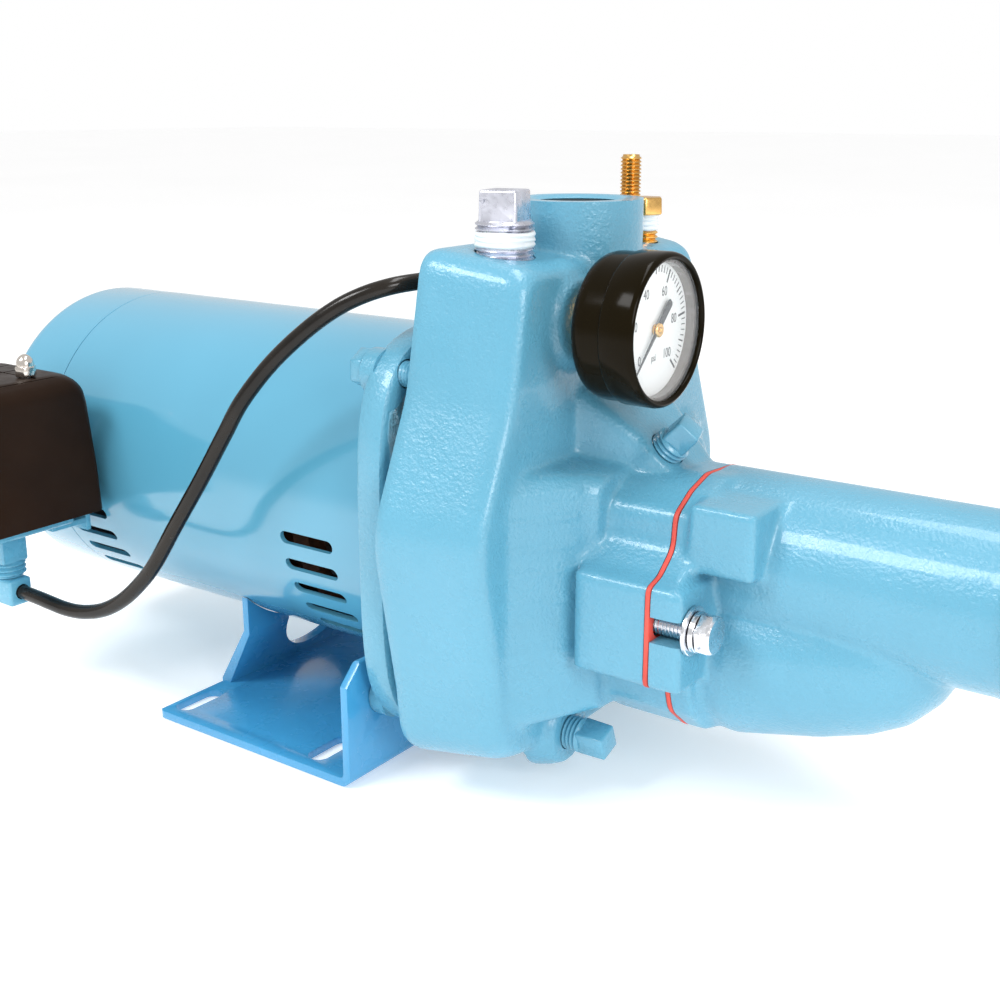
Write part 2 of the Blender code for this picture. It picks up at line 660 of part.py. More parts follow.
def pump_casing():
    back, front = CASING_BACK, CASING_FRONT
    casing = node("pump_casing", loft([
        casing_ring(back, 2.2), casing_ring(back + 2, 0), casing_ring(front - 6.5, 4.2),
        casing_ring(front - 1.8, 7.0), casing_ring(front, 11),
    ]), BLUE_CAST)
    nose = front + NOSE_REACH
    join(
        casing,
        loft([
            box_ring(front - 6, 74, -63, 35, 12), box_ring(front, 70, -61, 33, 12),
            box_ring(nose, 43, -59, 30, 9), box_ring(nose + 3, 40, -58, 29, 8),
        ]),
        loft([
            box_ring(front - 6, 30, 10, 61, 6), box_ring(front + 3, 26.5, 10, 56, 5),
            box_ring(NECK_FACE - 10, 13, 10, 29.5, 4),
        ]),
        neck_prism(NECK_FACE - LUG_LENGTH, NECK_FACE),
        rod(CASING_TOP - 15, BOSS_TOP, BOSS_RADIUS, (DISCHARGE_X, 0, 0), (0, 0, 1), 48),
        rod(SHAFT_HEIGHT + 20, CASING_TOP - 4, BOSS_RADIUS - 3, (DISCHARGE_X + 3.1, 0, 0), (0, 0, 1), 32),
        turned([
            (front - 6, 0), (front - 6, GAUGE_BOSS_RADIUS + 6), (front, GAUGE_BOSS_RADIUS + 3),
            (front + 2.2, GAUGE_BOSS_RADIUS), (GAUGE_BOSS_FACE, GAUGE_BOSS_RADIUS - 0.6), (GAUGE_BOSS_FACE, 0),
        ], shaft_point(0, GAUGE_Y, GAUGE_RISE), steps=32),
        turned([
            (front - 8, 0), (front - 8, 16), (front - 1, 14), (front + 3.5, 11.5), (front + 3.5, 0),
        ], shaft_point(0, DRAIN_Y, -DRAIN_DROP), steps=24),
        turned([(-14, 0), (-14, 11.5), (0, 9.6), (0, 0)], tapping_place(), TAPPING_AXIS, 24),
    )
    middle = shaft_point(0)
    cut(
        casing,
        rod(back - 1, CAVITY_FRONT, VOLUTE_RADIUS, middle, steps=40),
        turned([
            (SHAFT_HEIGHT + 30, 0), (BOSS_TOP + 1, 0), (BOSS_TOP + 1, DISCHARGE_MOUTH + 0.6),
            (BOSS_TOP - 1.6, DISCHARGE_BORE), (SHAFT_HEIGHT + 30, DISCHARGE_BORE),
        ], (DISCHARGE_X, 0, 0), (0, 0, 1), 32),
        rod(CAVITY_FRONT - 2, NECK_FACE + 1, EYE_BORE, middle, steps=36),
        rod(CAVITY_FRONT - 2, NECK_FACE + 1, RETURN_BORE, shaft_point(0, 0, -RETURN_DROP), steps=24),
    )
    drill(casing, "priming", (PRIMING_X, PRIMING_Y), PRIMING_THREAD + GAP, 70)
    drill(casing, "brass", (BRASS_PLUG_X, BRASS_PLUG_Y), BRASS_PLUG_THREAD + GAP, 14)
    drill(casing, "stud", (STUD_X, STUD_Y), STUD_RADIUS + GAP, 18)
    cut(casing, rod(front - 4, front + 9, 6.9, shaft_point(0, GAUGE_Y, GAUGE_RISE), steps=20))
    cut(casing, rod(front - 12, front + 9, DRAIN_THREAD + GAP, shaft_point(0, DRAIN_Y, -DRAIN_DROP), steps=20))
    cut(casing, rod(-10, 3, TAPPING_THREAD + GAP, tapping_place(), TAPPING_AXIS, 20))
    cut(casing, rod(back - 1, back + 9, 4.0, shaft_point(0, -22, SENSE_RISE), steps=16))
    for y, rise in corner_places():
        cut(casing, rod(back - 1, back + 16, 5.0, shaft_point(0, y, rise), steps=16))
    for sign in (-1, 1):
        place = shaft_point(0, sign * EJECTOR_BOLT_Y, -EJECTOR_BOLT_DROP)
        cut(casing, rod(NECK_FACE - 18, NECK_FACE + 1, EJECTOR_BOLT_RADIUS + GAP, place, steps=20))


SENSE_RISE = 92.7
PRIMING_X = DISCHARGE_X - 3.0
BRASS_PLUG_X = DISCHARGE_X + 5.5
STUD_X = DISCHARGE_X - 8.0
TAPPING_AXIS = (math.sqrt(0.5), 0.0, math.sqrt(0.5))


def tapping_place():
    return shaft_point(CASING_FRONT + 27.0, -9, 34.7)


def drill(casing, _name, place, radius, depth):
    centre = (place[0], place[1], CASING_TOP)
    cut(casing, rod(-depth, 8, radius, centre, (0, 0, 1), 24))


def casing_inside():
    """Seal plate that closes the casing's back, the seal seat and the diffuser."""
    centre = shaft_point(0)
    start = FLANGE_FRONT + GAP
    end = CASING_BACK - GAP
    plate = VOLUTE_RADIUS + 5
    node("seal_plate", turned([
        (start, SHAFT_RADIUS + 5), (start + 3, SHAFT_RADIUS + 5), (start + 3, 17.4), (end + 3, 17.4),
        (end + 3, 22), (end, 24), (end, plate), (start, plate),
    ], centre, steps=32), DARK_STEEL)
    node("seal_seat", ring(start + 3 + GAP, start + 7.9, 8.0, 17, centre, steps=24), CERAMIC)
    rim = VOLUTE_RADIUS - 1
    x = CAVITY_FRONT - GAP
    node("diffuser", turned([
        (x, rim), (x, EYE_BORE + 0.6), (x - 3, EYE_BORE + 3.3), (x - 8, EYE_BORE + 3.3),
        (x - 8, EYE_BORE + 7.5), (x - 5, EYE_BORE + 8.5), (x - 5, rim),
    ], centre, steps=28), BLACK_PLASTIC)


def square_head_plug(name, recipe, centre, direction, thread, collar, flats, heights, sides=4, turn=45.0):
    """A pipe plug: thread below its seat, an optional collar, and a square or six-sided head."""
    bottom, neck, collar_top, top = heights
    plug = node(name, turned([
        (bottom, 0), (bottom, thread - 0.8), (neck, thread), (neck, collar), (collar_top, collar),
        (collar_top, 0),
    ], centre, direction, 28), recipe)
    join(plug, many_sided(collar_top - 1, top, flats, sides, centre, direction, turn))


def casing_fittings():
    top = CASING_TOP
    square_head_plug(
        "priming_plug", ZINC, (PRIMING_X, PRIMING_Y, top), (0, 0, 1), PRIMING_THREAD, PRIMING_THREAD,
        14.0, (-14, 5.2, 9.0, 19.2), 4, 12.0,
    )
    square_head_plug(
        "brass_plug", BRASS, (BRASS_PLUG_X, BRASS_PLUG_Y, top), (0, 0, 1), BRASS_PLUG_THREAD, 5.1,
        12.7, (-9, 6.5, 7.3, 12.8), 6, 0.0,
    )
    stud_centre = (STUD_X, STUD_Y, top)
    node("regulator_stud", turned([
        (-14, 0), (-14, STUD_RADIUS), (STUD_STAND - 1, STUD_RADIUS), (STUD_STAND, STUD_RADIUS - 1),
        (STUD_STAND, 0),
    ], stud_centre, (0, 0, 1), 20), BRASS)
    face = CASING_FRONT + 3.5
    square_head_plug(
        "drain_plug", BLUE_CAST, shaft_point(face, DRAIN_Y, -DRAIN_DROP), (1, 0, 0), DRAIN_THREAD,
        DRAIN_THREAD, 10.0, (-9, 3.0, 7.0, 17.4), 4, 20.0,
    )
    square_head_plug(
        "upper_plug", BLUE_CAST, tapping_place(), TAPPING_AXIS, TAPPING_THREAD, TAPPING_THREAD,
        9.6, (-8, 2.5, 5.5, 14.0), 4, 20.0,
    )


# ---------------------------------------------------------------- ejector


def ejector_gasket():
    gasket = node("ejector_gasket", neck_prism(NECK_FACE + GAP, NECK_FACE + GAP + GASKET_THICKNESS, 0.6), RED_RUBBER)
    start, end = NECK_FACE - 2, EJECTOR_BACK + 2
    cut(gasket, rod(start, end, EYE_BORE + 0.6, shaft_point(0), steps=32))
    cut(gasket, rod(start, end, RETURN_BORE, shaft_point(0, 0, -RETURN_DROP), steps=24))
    for sign in (-1, 1):
        place = shaft_point(0, sign * EJECTOR_BOLT_Y, -EJECTOR_BOLT_DROP)
        cut(gasket, rod(start, end, EJECTOR_BOLT_RADIUS + GAP, place, steps=20))


def circle_ring(x, rise, radius, count=32):
    return [
        shaft_point(x, radius * math.sin(math.tau * k / count), rise + radius * math.cos(math.tau * k / count))
        for k in range(count)
    ]


def ejector_body():
    back, end = EJECTOR_BACK, EJECTOR_END
    body = node("ejector_body", neck_prism(back, back + 7.6), BLUE_CAST)
    stretch = EJECTOR_LENGTH / 130
    nose = [
        (4, -33.5, CHAMBER_RADIUS), (16, -34.0, CHAMBER_RADIUS + 1.2), (46, -29.5, 30.0), (62, -27.0, 27.3),
        (74, -25.0, 23.0), (83, -23.0, 15.5), (88, -22.0, 7.0),
    ]
    chamber = loft([circle_ring(back + x * stretch, rise, radius) for x, rise, radius in nose])
    tube = turned([
        (back + 3, 0), (back + 3, TUBE_RADIUS), (end - 26, TUBE_RADIUS), (end - 22, TUBE_RADIUS + 2.5),
        (end - 1.5, TUBE_RADIUS + 2.5), (end, TUBE_RADIUS + 1), (end, 0),
    ], shaft_point(0), steps=40)
    pad = bevelled(block(
        (back + 5, back + 29.5), (-38, 0), (SHAFT_HEIGHT + 2.5, SHAFT_HEIGHT + 25.5)
    ), 1.5, 1)
    web = bevelled(block(
        (back + 5, back + 70 * stretch), (-20, 20), (SHAFT_HEIGHT - 40, SHAFT_HEIGHT)
    ), 2, 1)
    join(body, chamber, tube, pad, web)
    for sign in (-1, 1):
        inner, outer = 24, LUG_HALF_WIDTH - 0.5
        y = (inner, outer) if sign > 0 else (-outer, -inner)
        ears = block((back + 3.5, back + EAR_DEPTH), y, (SHAFT_HEIGHT - 36, SHAFT_HEIGHT - 1.5))
        join(body, ears)
    bolt = EJECTOR_BOLT_RADIUS + 0.6
    for sign in (-1, 1):
        height = SHAFT_HEIGHT - EJECTOR_BOLT_DROP
        y = (36, 60) if sign > 0 else (-60, -36)
        cut(body, block((back - 1, back + EAR_DEPTH + 1), y, (height - bolt, height + bolt)))
        relief = rod(back + EAR_DEPTH, back + 27, 11.5, (0, sign * EJECTOR_BOLT_Y, height), steps=24)
        cut(body, relief)
    deep = end - 30
    cut(
        body,
        rod(back - 1, deep + 2, SUCTION_BORE, shaft_point(0), steps=32),
        turned([
            (deep, 0), (end + 1, 0), (end + 1, SUCTION_MOUTH + 0.6), (end - 1.8, SUCTION_MOUTH - 0.8),
            (deep, SUCTION_MOUTH - 0.8),
        ], shaft_point(0), steps=36),
        rod(back - 1, back + 66 * stretch, RETURN_BORE, shaft_point(0, 0, -RETURN_DROP + 3), steps=24),
        rod(-30, 0, 8.0, shaft_point(back + 58 * stretch), (0, 0, 1), 20),
    )


def ejector_inside():
    """The nozzle stands in the cross drilling; the venturi carries its jet to the impeller's eye."""
    back = EJECTOR_BACK
    nozzle_x = back + 58 * EJECTOR_LENGTH / 130
    nozzle = node("nozzle", rod(-26, 7, 7.6, shaft_point(nozzle_x), (0, 0, 1), 20), BRASS)
    join(nozzle, turned([(-16, 0), (-16, 3.6), (-5, 7.4), (0, 7.4), (0, 0)], shaft_point(nozzle_x), steps=20))
    cut(nozzle, rod(-27, 0.5, 4.6, shaft_point(nozzle_x), (0, 0, 1), 16))
    cut(nozzle, turned([(-17, 0), (-17, 1.9), (0, 4.4), (0, 0)], shaft_point(nozzle_x), steps=16))
    mouth = nozzle_x - 19
    outlet = CAVITY_FRONT + 3
    r = SUCTION_BORE - GAP
    node("venturi", turned([
        (outlet, r - 2.2), (outlet, r - 4.5), (mouth - 22, 5.2), (mouth - 12, 5.2), (mouth, 9.5),
        (mouth, r - 3), (mouth - 30, r - 3), (mouth - 34, r), (mouth - 42, r), (mouth - 46, r - 2.2),
    ], shaft_point(0), steps=18), BLACK_PLASTIC)


def ejector_bolts():
    seat = EJECTOR_BACK + EAR_DEPTH
    for side, sign in (("near", -1), ("far", 1)):
        centre = shaft_point(0, sign * EJECTOR_BOLT_Y, -EJECTOR_BOLT_DROP)
        inner = EJECTOR_BOLT_RADIUS + 0.3
        node(f"flat_washer_{side}", ring(seat + GAP, seat + 1.8, inner, 8.5, centre, steps=28), ZINC)
        node(f"lock_washer_{side}", ring(seat + 2.1, seat + 4.0, inner, 7.0, centre, steps=24), ZINC)
        head = seat + 4.3
        bolt = node(f"ejector_bolt_{side}", many_sided(head, head + 5.3, EJECTOR_HEX, 6, centre), ZINC)
        join(bolt, rod(NECK_FACE - 15, head + 1, EJECTOR_BOLT_RADIUS, centre, steps=20))


# ---------------------------------------------------------------- gauge


def gauge():
    centre = (0, GAUGE_Y, GAUGE_HEIGHT)
    back, front, r = GAUGE_BACK, GAUGE_FRONT, GAUGE_RADIUS
    case_r = r - 1.25
    case_front = front - 3.0
    stem = node("gauge_stem", rod(CASING_FRONT - 2, back - 3.5, 6.5, centre, steps=20), BRASS)
    join(stem, many_sided(GAUGE_BOSS_FACE + 1.2, back - GAP, 14.2, 4, centre, (1, 0, 0), 45))
    join(stem, rod(back - 1, back + 4, 4.0, centre, steps=16))
    case = node("gauge_case", turned([
        (back, 0), (back, case_r - 3), (back + 1.2, case_r - 0.7), (back + 3, case_r), (case_front, case_r),
        (case_front, case_r - 1.2), (back + 3.2, case_r - 1.2), (back + 1.2, case_r - 4), (back + 1.2, 0),
    ], centre, steps=32), BLACK_ENAMEL)
    cut(case, rod(back - 2, back + 3, 4.0 + GAP, centre, steps=16))
    node("gauge_bezel", turned([
        (front - 12.5, case_r + GAP), (front - 12.5, r - 0.3), (front - 12, r), (front - 1.2, r),
        (front - 0.3, r - 0.6), (front, r - 1.6), (front, r - 2.6), (front - 1.4, r - 3.6),
        (front - 1.4, r - 2.0), (front - 2.7, r - 2.0), (front - 2.7, case_r + GAP),
    ], centre, steps=34), BLACK_ENAMEL)
    node("gauge_lens", rod(front - 2.6, front - 1.7, r - 2.3, centre, steps=40), CLEAR_LENS)
    dial_front = front - 6.0
    node("gauge_dial", ring(dial_front - 0.8, dial_front, 1.5, case_r - 1.5, centre, steps=48), WHITE_ENAMEL)
    axis = axis_empty("pointer_axis", (dial_front, GAUGE_Y, GAUGE_HEIGHT))
    hub_top = front - 2.9
    pointer = node("gauge_pointer", rod(dial_front - 3, hub_top, 1.1, centre, steps=12), BLACK_ENAMEL, axis)
    join(pointer, rod(dial_front + 0.8, hub_top - 0.2, 2.3, centre, steps=16))
    blade = prism(
        [(-1.2, -8), (1.2, -8), (1.6, 0), (0.35, POINTER_LENGTH), (-0.35, POINTER_LENGTH), (-1.6, 0)],
        dial_front + 1.1, dial_front + 1.7, along_x,
    )
    blade.transform(Matrix.Rotation(math.radians(POINTER_ZERO), 4, "X"))
    bmesh.ops.translate(blade, vec=(0, GAUGE_Y, GAUGE_HEIGHT), verts=blade.verts)
    join(pointer, blade)


POINTER_ZERO = 135.0  # degrees about +X from straight up, which is lower left when the dial is faced


# ---------------------------------------------------------------- pressure switch and sensing tube


def switch_box(margin, low, high, radius, shift=0.0):
    """An outline round the switch's centre, smaller by margin on each side."""
    x = SWITCH_X + shift
    a = (x - SWITCH_LENGTH / 2 + margin, x + SWITCH_LENGTH / 2 - margin)
    b = (SWITCH_Y - SWITCH_WIDTH / 2 + margin, SWITCH_Y + SWITCH_WIDTH / 2 - margin)
    return rounded_box_outline(a, b, radius)


def stacked(levels):
    """A solid through horizontal outlines given as (z, margin, corner radius)."""
    return loft([[(x, y, z) for x, y in switch_box(margin, 0, 0, radius)] for z, margin, radius in levels])


def pressure_switch():
    base, top = SWITCH_BASE_HEIGHT, SWITCH_BASE_HEIGHT + SWITCH_COVER_HEIGHT
    wall = SWITCH_WALL
    cover = node("switch_cover", stacked([
        (base, 0.0, 5), (base + 20, 0.4, 5), (top - 10, 1.4, 6), (top - 4.5, 2.8, 7), (top - 1.2, 5.6, 8),
        (top, 8.8, 8),
    ]), BROWN_PLASTIC)
    cut(cover, stacked([
        (base - 2, wall, 4), (top - 11, wall + 1.4, 4), (top - 5, wall + 3.6, 4), (top - wall, wall + 7, 4),
    ]))
    stud_x, stud_y = SWITCH_X + RANGE_STUD_X, SWITCH_Y + RANGE_STUD_Y
    cut(cover, rod(top - 8, top + 3, 2.9, (stud_x, stud_y, 0), (0, 0, 1), 16))
    centre = (SWITCH_X, SWITCH_Y, 0)
    plate = node("switch_base", prism(switch_box(wall + GAP + 0.4, 0, 0, 4), base, base + 2.4, along_z), BRIGHT_STEEL)
    pivot_x, pivot_z = lever_pivot()
    for y in (SWITCH_Y - 12, SWITCH_Y + 16):
        join(plate, block((pivot_x - 3.5, pivot_x + 3.5), (y - 1.2, y + 1.2), (base + 1, pivot_z + 4)))
    join(plate, rod(-14.5, 18.5, 1.5, (pivot_x, SWITCH_Y, pivot_z), (0, 1, 0), 12))
    upright = (0, 0, 1)
    stud = node("range_stud", rod(base + 2.4 + GAP, top + 6.5, 2.3, (stud_x, stud_y, 0), upright, 16), ZINC)
    join(stud, many_sided(COVER_INSIDE_Z - 4.7, COVER_INSIDE_Z - 1.2, 10.5, 6, (stud_x, stud_y, 0), upright))
    node("range_spring", ring(pivot_z + 4.2, COVER_INSIDE_Z - 5, 4.6, 7.2, (stud_x, stud_y, 0), (0, 0, 1), 20),
         BRIGHT_STEEL)
    nut = many_sided(top + GAP, top + 4.4, 9.4, 6, (stud_x, stud_y, 0), (0, 0, 1))
    dome = node("cover_nut", nut, ZINC)
    join(dome, turned([
        (top + 3, 0), (top + 3, 4.5), (top + 6.5, 4.3), (top + 8.6, 3.0), (top + 9.8, 1.2), (top + 10.1, 0),
    ], (stud_x, stud_y, 0), (0, 0, 1), 20))
    cut(dome, rod(top - 1, top + 7.0, 2.6, (stud_x, stud_y, 0), (0, 0, 1), 16))
    contacts = bevelled(block(
        (SWITCH_X - 26, SWITCH_X - 10), (SWITCH_Y - 18, SWITCH_Y + 18), (base + 2.7, base + 30)
    ), 1.0, 1)
    node("contact_block", contacts, BLACK_PLASTIC)
    lever(pivot_x, pivot_z, stud_x, stud_y)
    housing = prism(rounded_box_outline(
        (SWITCH_X - 20, SWITCH_X + 20), (SWITCH_Y - 20, SWITCH_Y + 20), 4
    ), base - 6 - GAP, base - GAP, along_z)
    node("diaphragm_housing", housing, BLUE_SHEET)
    nipple = node("switch_nipple", many_sided(
        FITTING_HEIGHT + 12.6, base - 6 - 2 * GAP, 12.6, 4, (SWITCH_X - 2, SWITCH_Y, 0), (0, 0, 1)
    ), BLUE_SHEET)
    join(nipple, rod(FITTING_HEIGHT + 5.8 + GAP, FITTING_HEIGHT + 13, 7.4, (SWITCH_X - 2, SWITCH_Y, 0), (0, 0, 1), 24))
    elbow = bevelled(block(
        (SWITCH_X - 10.5, SWITCH_X + 6.8), (SWITCH_Y - 6, SWITCH_Y + 4.8),
        (FITTING_HEIGHT - 5.6, FITTING_HEIGHT + 5.8),
    ), 0.8, 1)
    elbow_obj = node("tube_elbow", elbow, BLUE_SHEET)
    cut(elbow_obj, rod(SWITCH_X - 4, SWITCH_X + 12, TUBE_OUTER_RADIUS + 0.4, (0, SWITCH_Y, FITTING_HEIGHT), steps=20))
    switch_bracket()


def lever_pivot():
    return SWITCH_X - 2.0, SWITCH_BASE_HEIGHT + 16.0


def lever(pivot_x, pivot_z, stud_x, stud_y):
    """The lever that the diaphragm lifts against the range spring; it rocks on the lever pin."""
    axis = axis_empty("lever_axis", (pivot_x, SWITCH_Y, pivot_z))
    arm = node("switch_lever", block(
        (pivot_x, stud_x + 6.5), (stud_y - 7, stud_y + 7), (pivot_z - 1.1, pivot_z + 1.1)
    ), BRIGHT_STEEL, axis)
    join(arm, rod(-7, 12, 3.2, (pivot_x, SWITCH_Y, pivot_z), (0, 1, 0), 20))
    cut(arm, rod(-16, 20, 1.9, (pivot_x, SWITCH_Y, pivot_z), (0, 1, 0), 16))
    cut(arm, rod(pivot_z - 5, pivot_z + 5, 3.6, (stud_x, stud_y, 0), (0, 0, 1), 20))


def switch_bracket():
    """An angle bracket: one leg under the switch, the other against the motor's side."""
    under = SWITCH_BASE_HEIGHT - 2 * GAP - 6
    thick = 2.5
    shell_y = -SHELL_RADIUS - GAP
    leg = block((SWITCH_X - 16, SWITCH_X + 16), (shell_y - thick, shell_y), (under - 6, under + 46))
    bracket = node("switch_bracket", leg, BLUE_SHEET)
    join(bracket, block(
        (SWITCH_X - 16, SWITCH_X + 16), (SWITCH_Y + 11.5, shell_y - thick + 0.5), (under - thick, under)
    ))
    for x in (SWITCH_X - 8, SWITCH_X + 8):
        cut(bracket, rod(shell_y - 6, shell_y + 2, 2.6, (x, 0, SHAFT_HEIGHT + 8), (0, 1, 0), 16))


def smooth_route(points, per_span=2):
    """A Catmull-Rom curve through the route's own points."""
    knots = [Vector(p) for p in points]
    knots = [2 * knots[0] - knots[1]] + knots + [2 * knots[-1] - knots[-2]]
    path = []
    for i in range(1, len(knots) - 2):
        a, b, c, d = knots[i - 1:i + 3]
        for k in range(per_span):
            t = k / per_span
            path.append(0.5 * (
                2 * b + (c - a) * t + (2 * a - 5 * b + 4 * c - d) * t ** 2 + (3 * b - a - 3 * c + d) * t ** 3
            ))
    path.append(knots[-2])
    return path


def sensing_tube():
    path = smooth_route(TUBE_ROUTE)
    curve = bpy.data.curves.new("sensing_tube", "CURVE")
    curve.dimensions = "3D"
    curve.bevel_depth = TUBE_OUTER_RADIUS * MM
    curve.bevel_resolution = 2
    curve.use_fill_caps = True
    spline = curve.splines.new("POLY")
    spline.points.add(len(path) - 1)
    for point, place in zip(spline.points, path):
        point.co = (*(place * MM), 1.0)
    tube = bpy.data.objects.new("sensing_tube", curve)
    tube.data.materials.append(material(BLACK_TUBE))
    bpy.context.scene.collection.objects.link(tube)
    x, z = FITTING_BLOCK_X, SHAFT_HEIGHT + SENSE_RISE
    fitting = node("tube_fitting", bevelled(block((x - 7, x + 6), (-29, -15), (z - 7, z + 7)), 0.8, 1), BLUE_SHEET)
    join(fitting, rod(x + 4, CASING_BACK + 7, 3.7, (0, -22, z), steps=16))
    cut(fitting, rod(-33, -24, TUBE_OUTER_RADIUS + 0.4, (x, 0, z), (0, 1, 0), 16))


def main():
    clear_scene()
    foot()
    motor_shell()
    rear_cover()
    motor_flange()
    casing_bolts()
    motor_inside()
    rotor_pieces()
    pump_casing()
    casing_inside()
    casing_fittings()
    ejector_gasket()
    ejector_body()
    ejector_inside()
    ejector_bolts()
    gauge()
    pressure_switch()
    sensing_tube()


main()
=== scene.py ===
"""Shallow well jet pump: the finished look of each piece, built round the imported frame.

Lengths inside the operators are millimetres in the frame's own axes: +Z is up and +X runs along the shaft
from the motor to the suction port. Every mesh is scaled to metres when its object is made.
"""

import json
import math

import bmesh
import bpy
from bpy.props import BoolProperty, FloatProperty, FloatVectorProperty, IntProperty, PointerProperty
from mathutils import Matrix, Vector

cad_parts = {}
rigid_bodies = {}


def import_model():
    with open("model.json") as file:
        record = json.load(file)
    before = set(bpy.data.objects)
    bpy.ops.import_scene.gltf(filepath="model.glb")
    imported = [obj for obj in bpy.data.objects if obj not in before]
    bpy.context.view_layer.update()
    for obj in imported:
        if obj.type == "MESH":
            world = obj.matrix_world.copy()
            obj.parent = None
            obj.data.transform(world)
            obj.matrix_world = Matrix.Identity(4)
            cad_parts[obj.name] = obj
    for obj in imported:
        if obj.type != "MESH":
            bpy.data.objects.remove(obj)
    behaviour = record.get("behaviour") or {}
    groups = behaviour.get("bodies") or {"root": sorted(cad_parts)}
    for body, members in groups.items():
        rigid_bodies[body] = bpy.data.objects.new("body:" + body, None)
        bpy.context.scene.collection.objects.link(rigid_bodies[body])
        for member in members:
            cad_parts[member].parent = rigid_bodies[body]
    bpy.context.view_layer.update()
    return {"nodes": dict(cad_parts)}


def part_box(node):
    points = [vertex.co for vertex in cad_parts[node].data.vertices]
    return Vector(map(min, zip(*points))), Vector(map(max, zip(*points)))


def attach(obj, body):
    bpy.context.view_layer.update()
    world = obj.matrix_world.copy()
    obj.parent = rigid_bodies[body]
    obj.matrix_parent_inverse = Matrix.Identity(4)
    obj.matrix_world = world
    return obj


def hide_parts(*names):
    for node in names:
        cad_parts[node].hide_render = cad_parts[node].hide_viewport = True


bl_info = {
    "name": "Jet Pump Builder",
    "version": (1, 0, 0),
    "blender": (4, 5, 0),
    "location": "3D View > Sidebar > Jet Pump",
    "description": "Builds the painted castings, motor, gauge, switch and fittings of a shallow well jet pump",
    "category": "Object",
}

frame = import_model()

MM = 0.001
UP = (0.0, 0.0, 1.0)
AHEAD = (1.0, 0.0, 0.0)
ACROSS = (0.0, 1.0, 0.0)


def corner(node, which):
    """The lowest (0) or highest (1) corner of a frame node, in millimetres."""
    return Vector(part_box(node)[which]) / MM


def corners(node):
    return corner(node, 0), corner(node, 1)


SHAFT_HEIGHT = (corner("shaft", 0).z + corner("shaft", 1).z) / 2
SHELL_BACK = corner("motor_shell", 0).x
SHELL_FRONT = corner("motor_shell", 1).x
COVER_BACK = corner("rear_cover", 0).x
FLANGE_BACK = SHELL_FRONT + 0.3
FLANGE_FRONT = corner("motor_flange", 1).x
CASING_BACK = corner("pump_casing", 0).x
NECK_FACE = corner("pump_casing", 1).x
BOSS_TOP = corner("pump_casing", 1).z
CASING_TOP = BOSS_TOP - 14.4
CASING_FRONT = NECK_FACE - 44.2
CAVITY_FRONT = CASING_FRONT - 6.0
DISCHARGE_X = (CASING_BACK + CASING_FRONT) / 2 + 2.5
EJECTOR_BACK = corner("ejector_body", 0).x
EJECTOR_END = corner("ejector_body", 1).x
GAUGE_BACK = corner("gauge_case", 0).x
GAUGE_FRONT = corner("gauge_bezel", 1).x
GAUGE_Y = (corner("gauge_bezel", 0).y + corner("gauge_bezel", 1).y) / 2
GAUGE_Z = (corner("gauge_bezel", 0).z + corner("gauge_bezel", 1).z) / 2
COVER_LOW, COVER_HIGH = corners("switch_cover")
SWITCH_X = (COVER_LOW.x + COVER_HIGH.x) / 2
SWITCH_Y = (COVER_LOW.y + COVER_HIGH.y) / 2
TAPPING_AXIS = (math.sqrt(0.5), 0.0, math.sqrt(0.5))
TAPPING_PLACE = (CASING_FRONT + 27.0, -9, SHAFT_HEIGHT + 34.7)
PRIMING_PLACE = (DISCHARGE_X - 3, -41, CASING_TOP)
BRASS_PLUG_PLACE = (DISCHARGE_X + 5.5, 40, CASING_TOP)
DRAIN_Y, DRAIN_RISE = -33, -72
EYE_BORE, RETURN_BORE = 16.4, 11.0
JOINT_BOLT_Y, JOINT_BOLT_RISE = 44.5, -15
EAR_DEPTH = 11.2
GAUGE_RADIUS = 25.85
HEX = 12.7


# ---------------------------------------------------------------- sizes and colours a user may change


class JetPumpCastingSettings(bpy.types.PropertyGroup):
    grain: FloatProperty(
        name="Casting grain", description="Voxel size the castings are cleaned up with",
        default=0.00125, min=0.0008, max=0.004, unit="LENGTH",
    )
    softness: IntProperty(
        name="Fillet softness", description="How many times the casting's corners are rounded",
        default=5, min=1, max=20,
    )
    paint: FloatVectorProperty(
        name="Casting paint", description="Light blue enamel on the castings", subtype="COLOR", size=3,
        default=(0.105, 0.335, 0.470), min=0.0, max=1.0,
    )
    gasket: FloatVectorProperty(
        name="Gasket", description="Colour of the ejector's sheet gasket", subtype="COLOR", size=3,
        default=(0.62, 0.07, 0.05), min=0.0, max=1.0,
    )


class JetPumpMotorSettings(bpy.types.PropertyGroup):
    shell_radius: FloatProperty(
        name="Shell radius", description="Outside radius of the rolled motor shell",
        default=0.0676, min=0.05, max=0.09, unit="LENGTH",
    )
    vent_width: FloatProperty(
        name="Vent width", description="Width of each cooling slot in the shell",
        default=0.0052, min=0.002, max=0.008, unit="LENGTH",
    )
    paint: FloatVectorProperty(
        name="Sheet paint", description="Light blue enamel on the pressed sheet steel", subtype="COLOR", size=3,
        default=(0.092, 0.335, 0.485), min=0.0, max=1.0,
    )


class JetPumpTrimSettings(bpy.types.PropertyGroup):
    thread_pitch: FloatProperty(
        name="Thread pitch", description="Pitch of the visible pipe and bolt threads",
        default=0.0017, min=0.0008, max=0.003, unit="LENGTH",
    )
    dial_steps: IntProperty(
        name="Dial steps", description="Small divisions between two numbers on the gauge", default=10, min=2, max=20,
    )
    tape: BoolProperty(
        name="Thread tape", description="Wrap white tape round the taper threads", default=True,
    )
    cover: FloatVectorProperty(
        name="Switch cover", description="Colour of the moulded switch cover", subtype="COLOR", size=3,
        default=(0.014, 0.007, 0.004), min=0.0, max=1.0,
    )


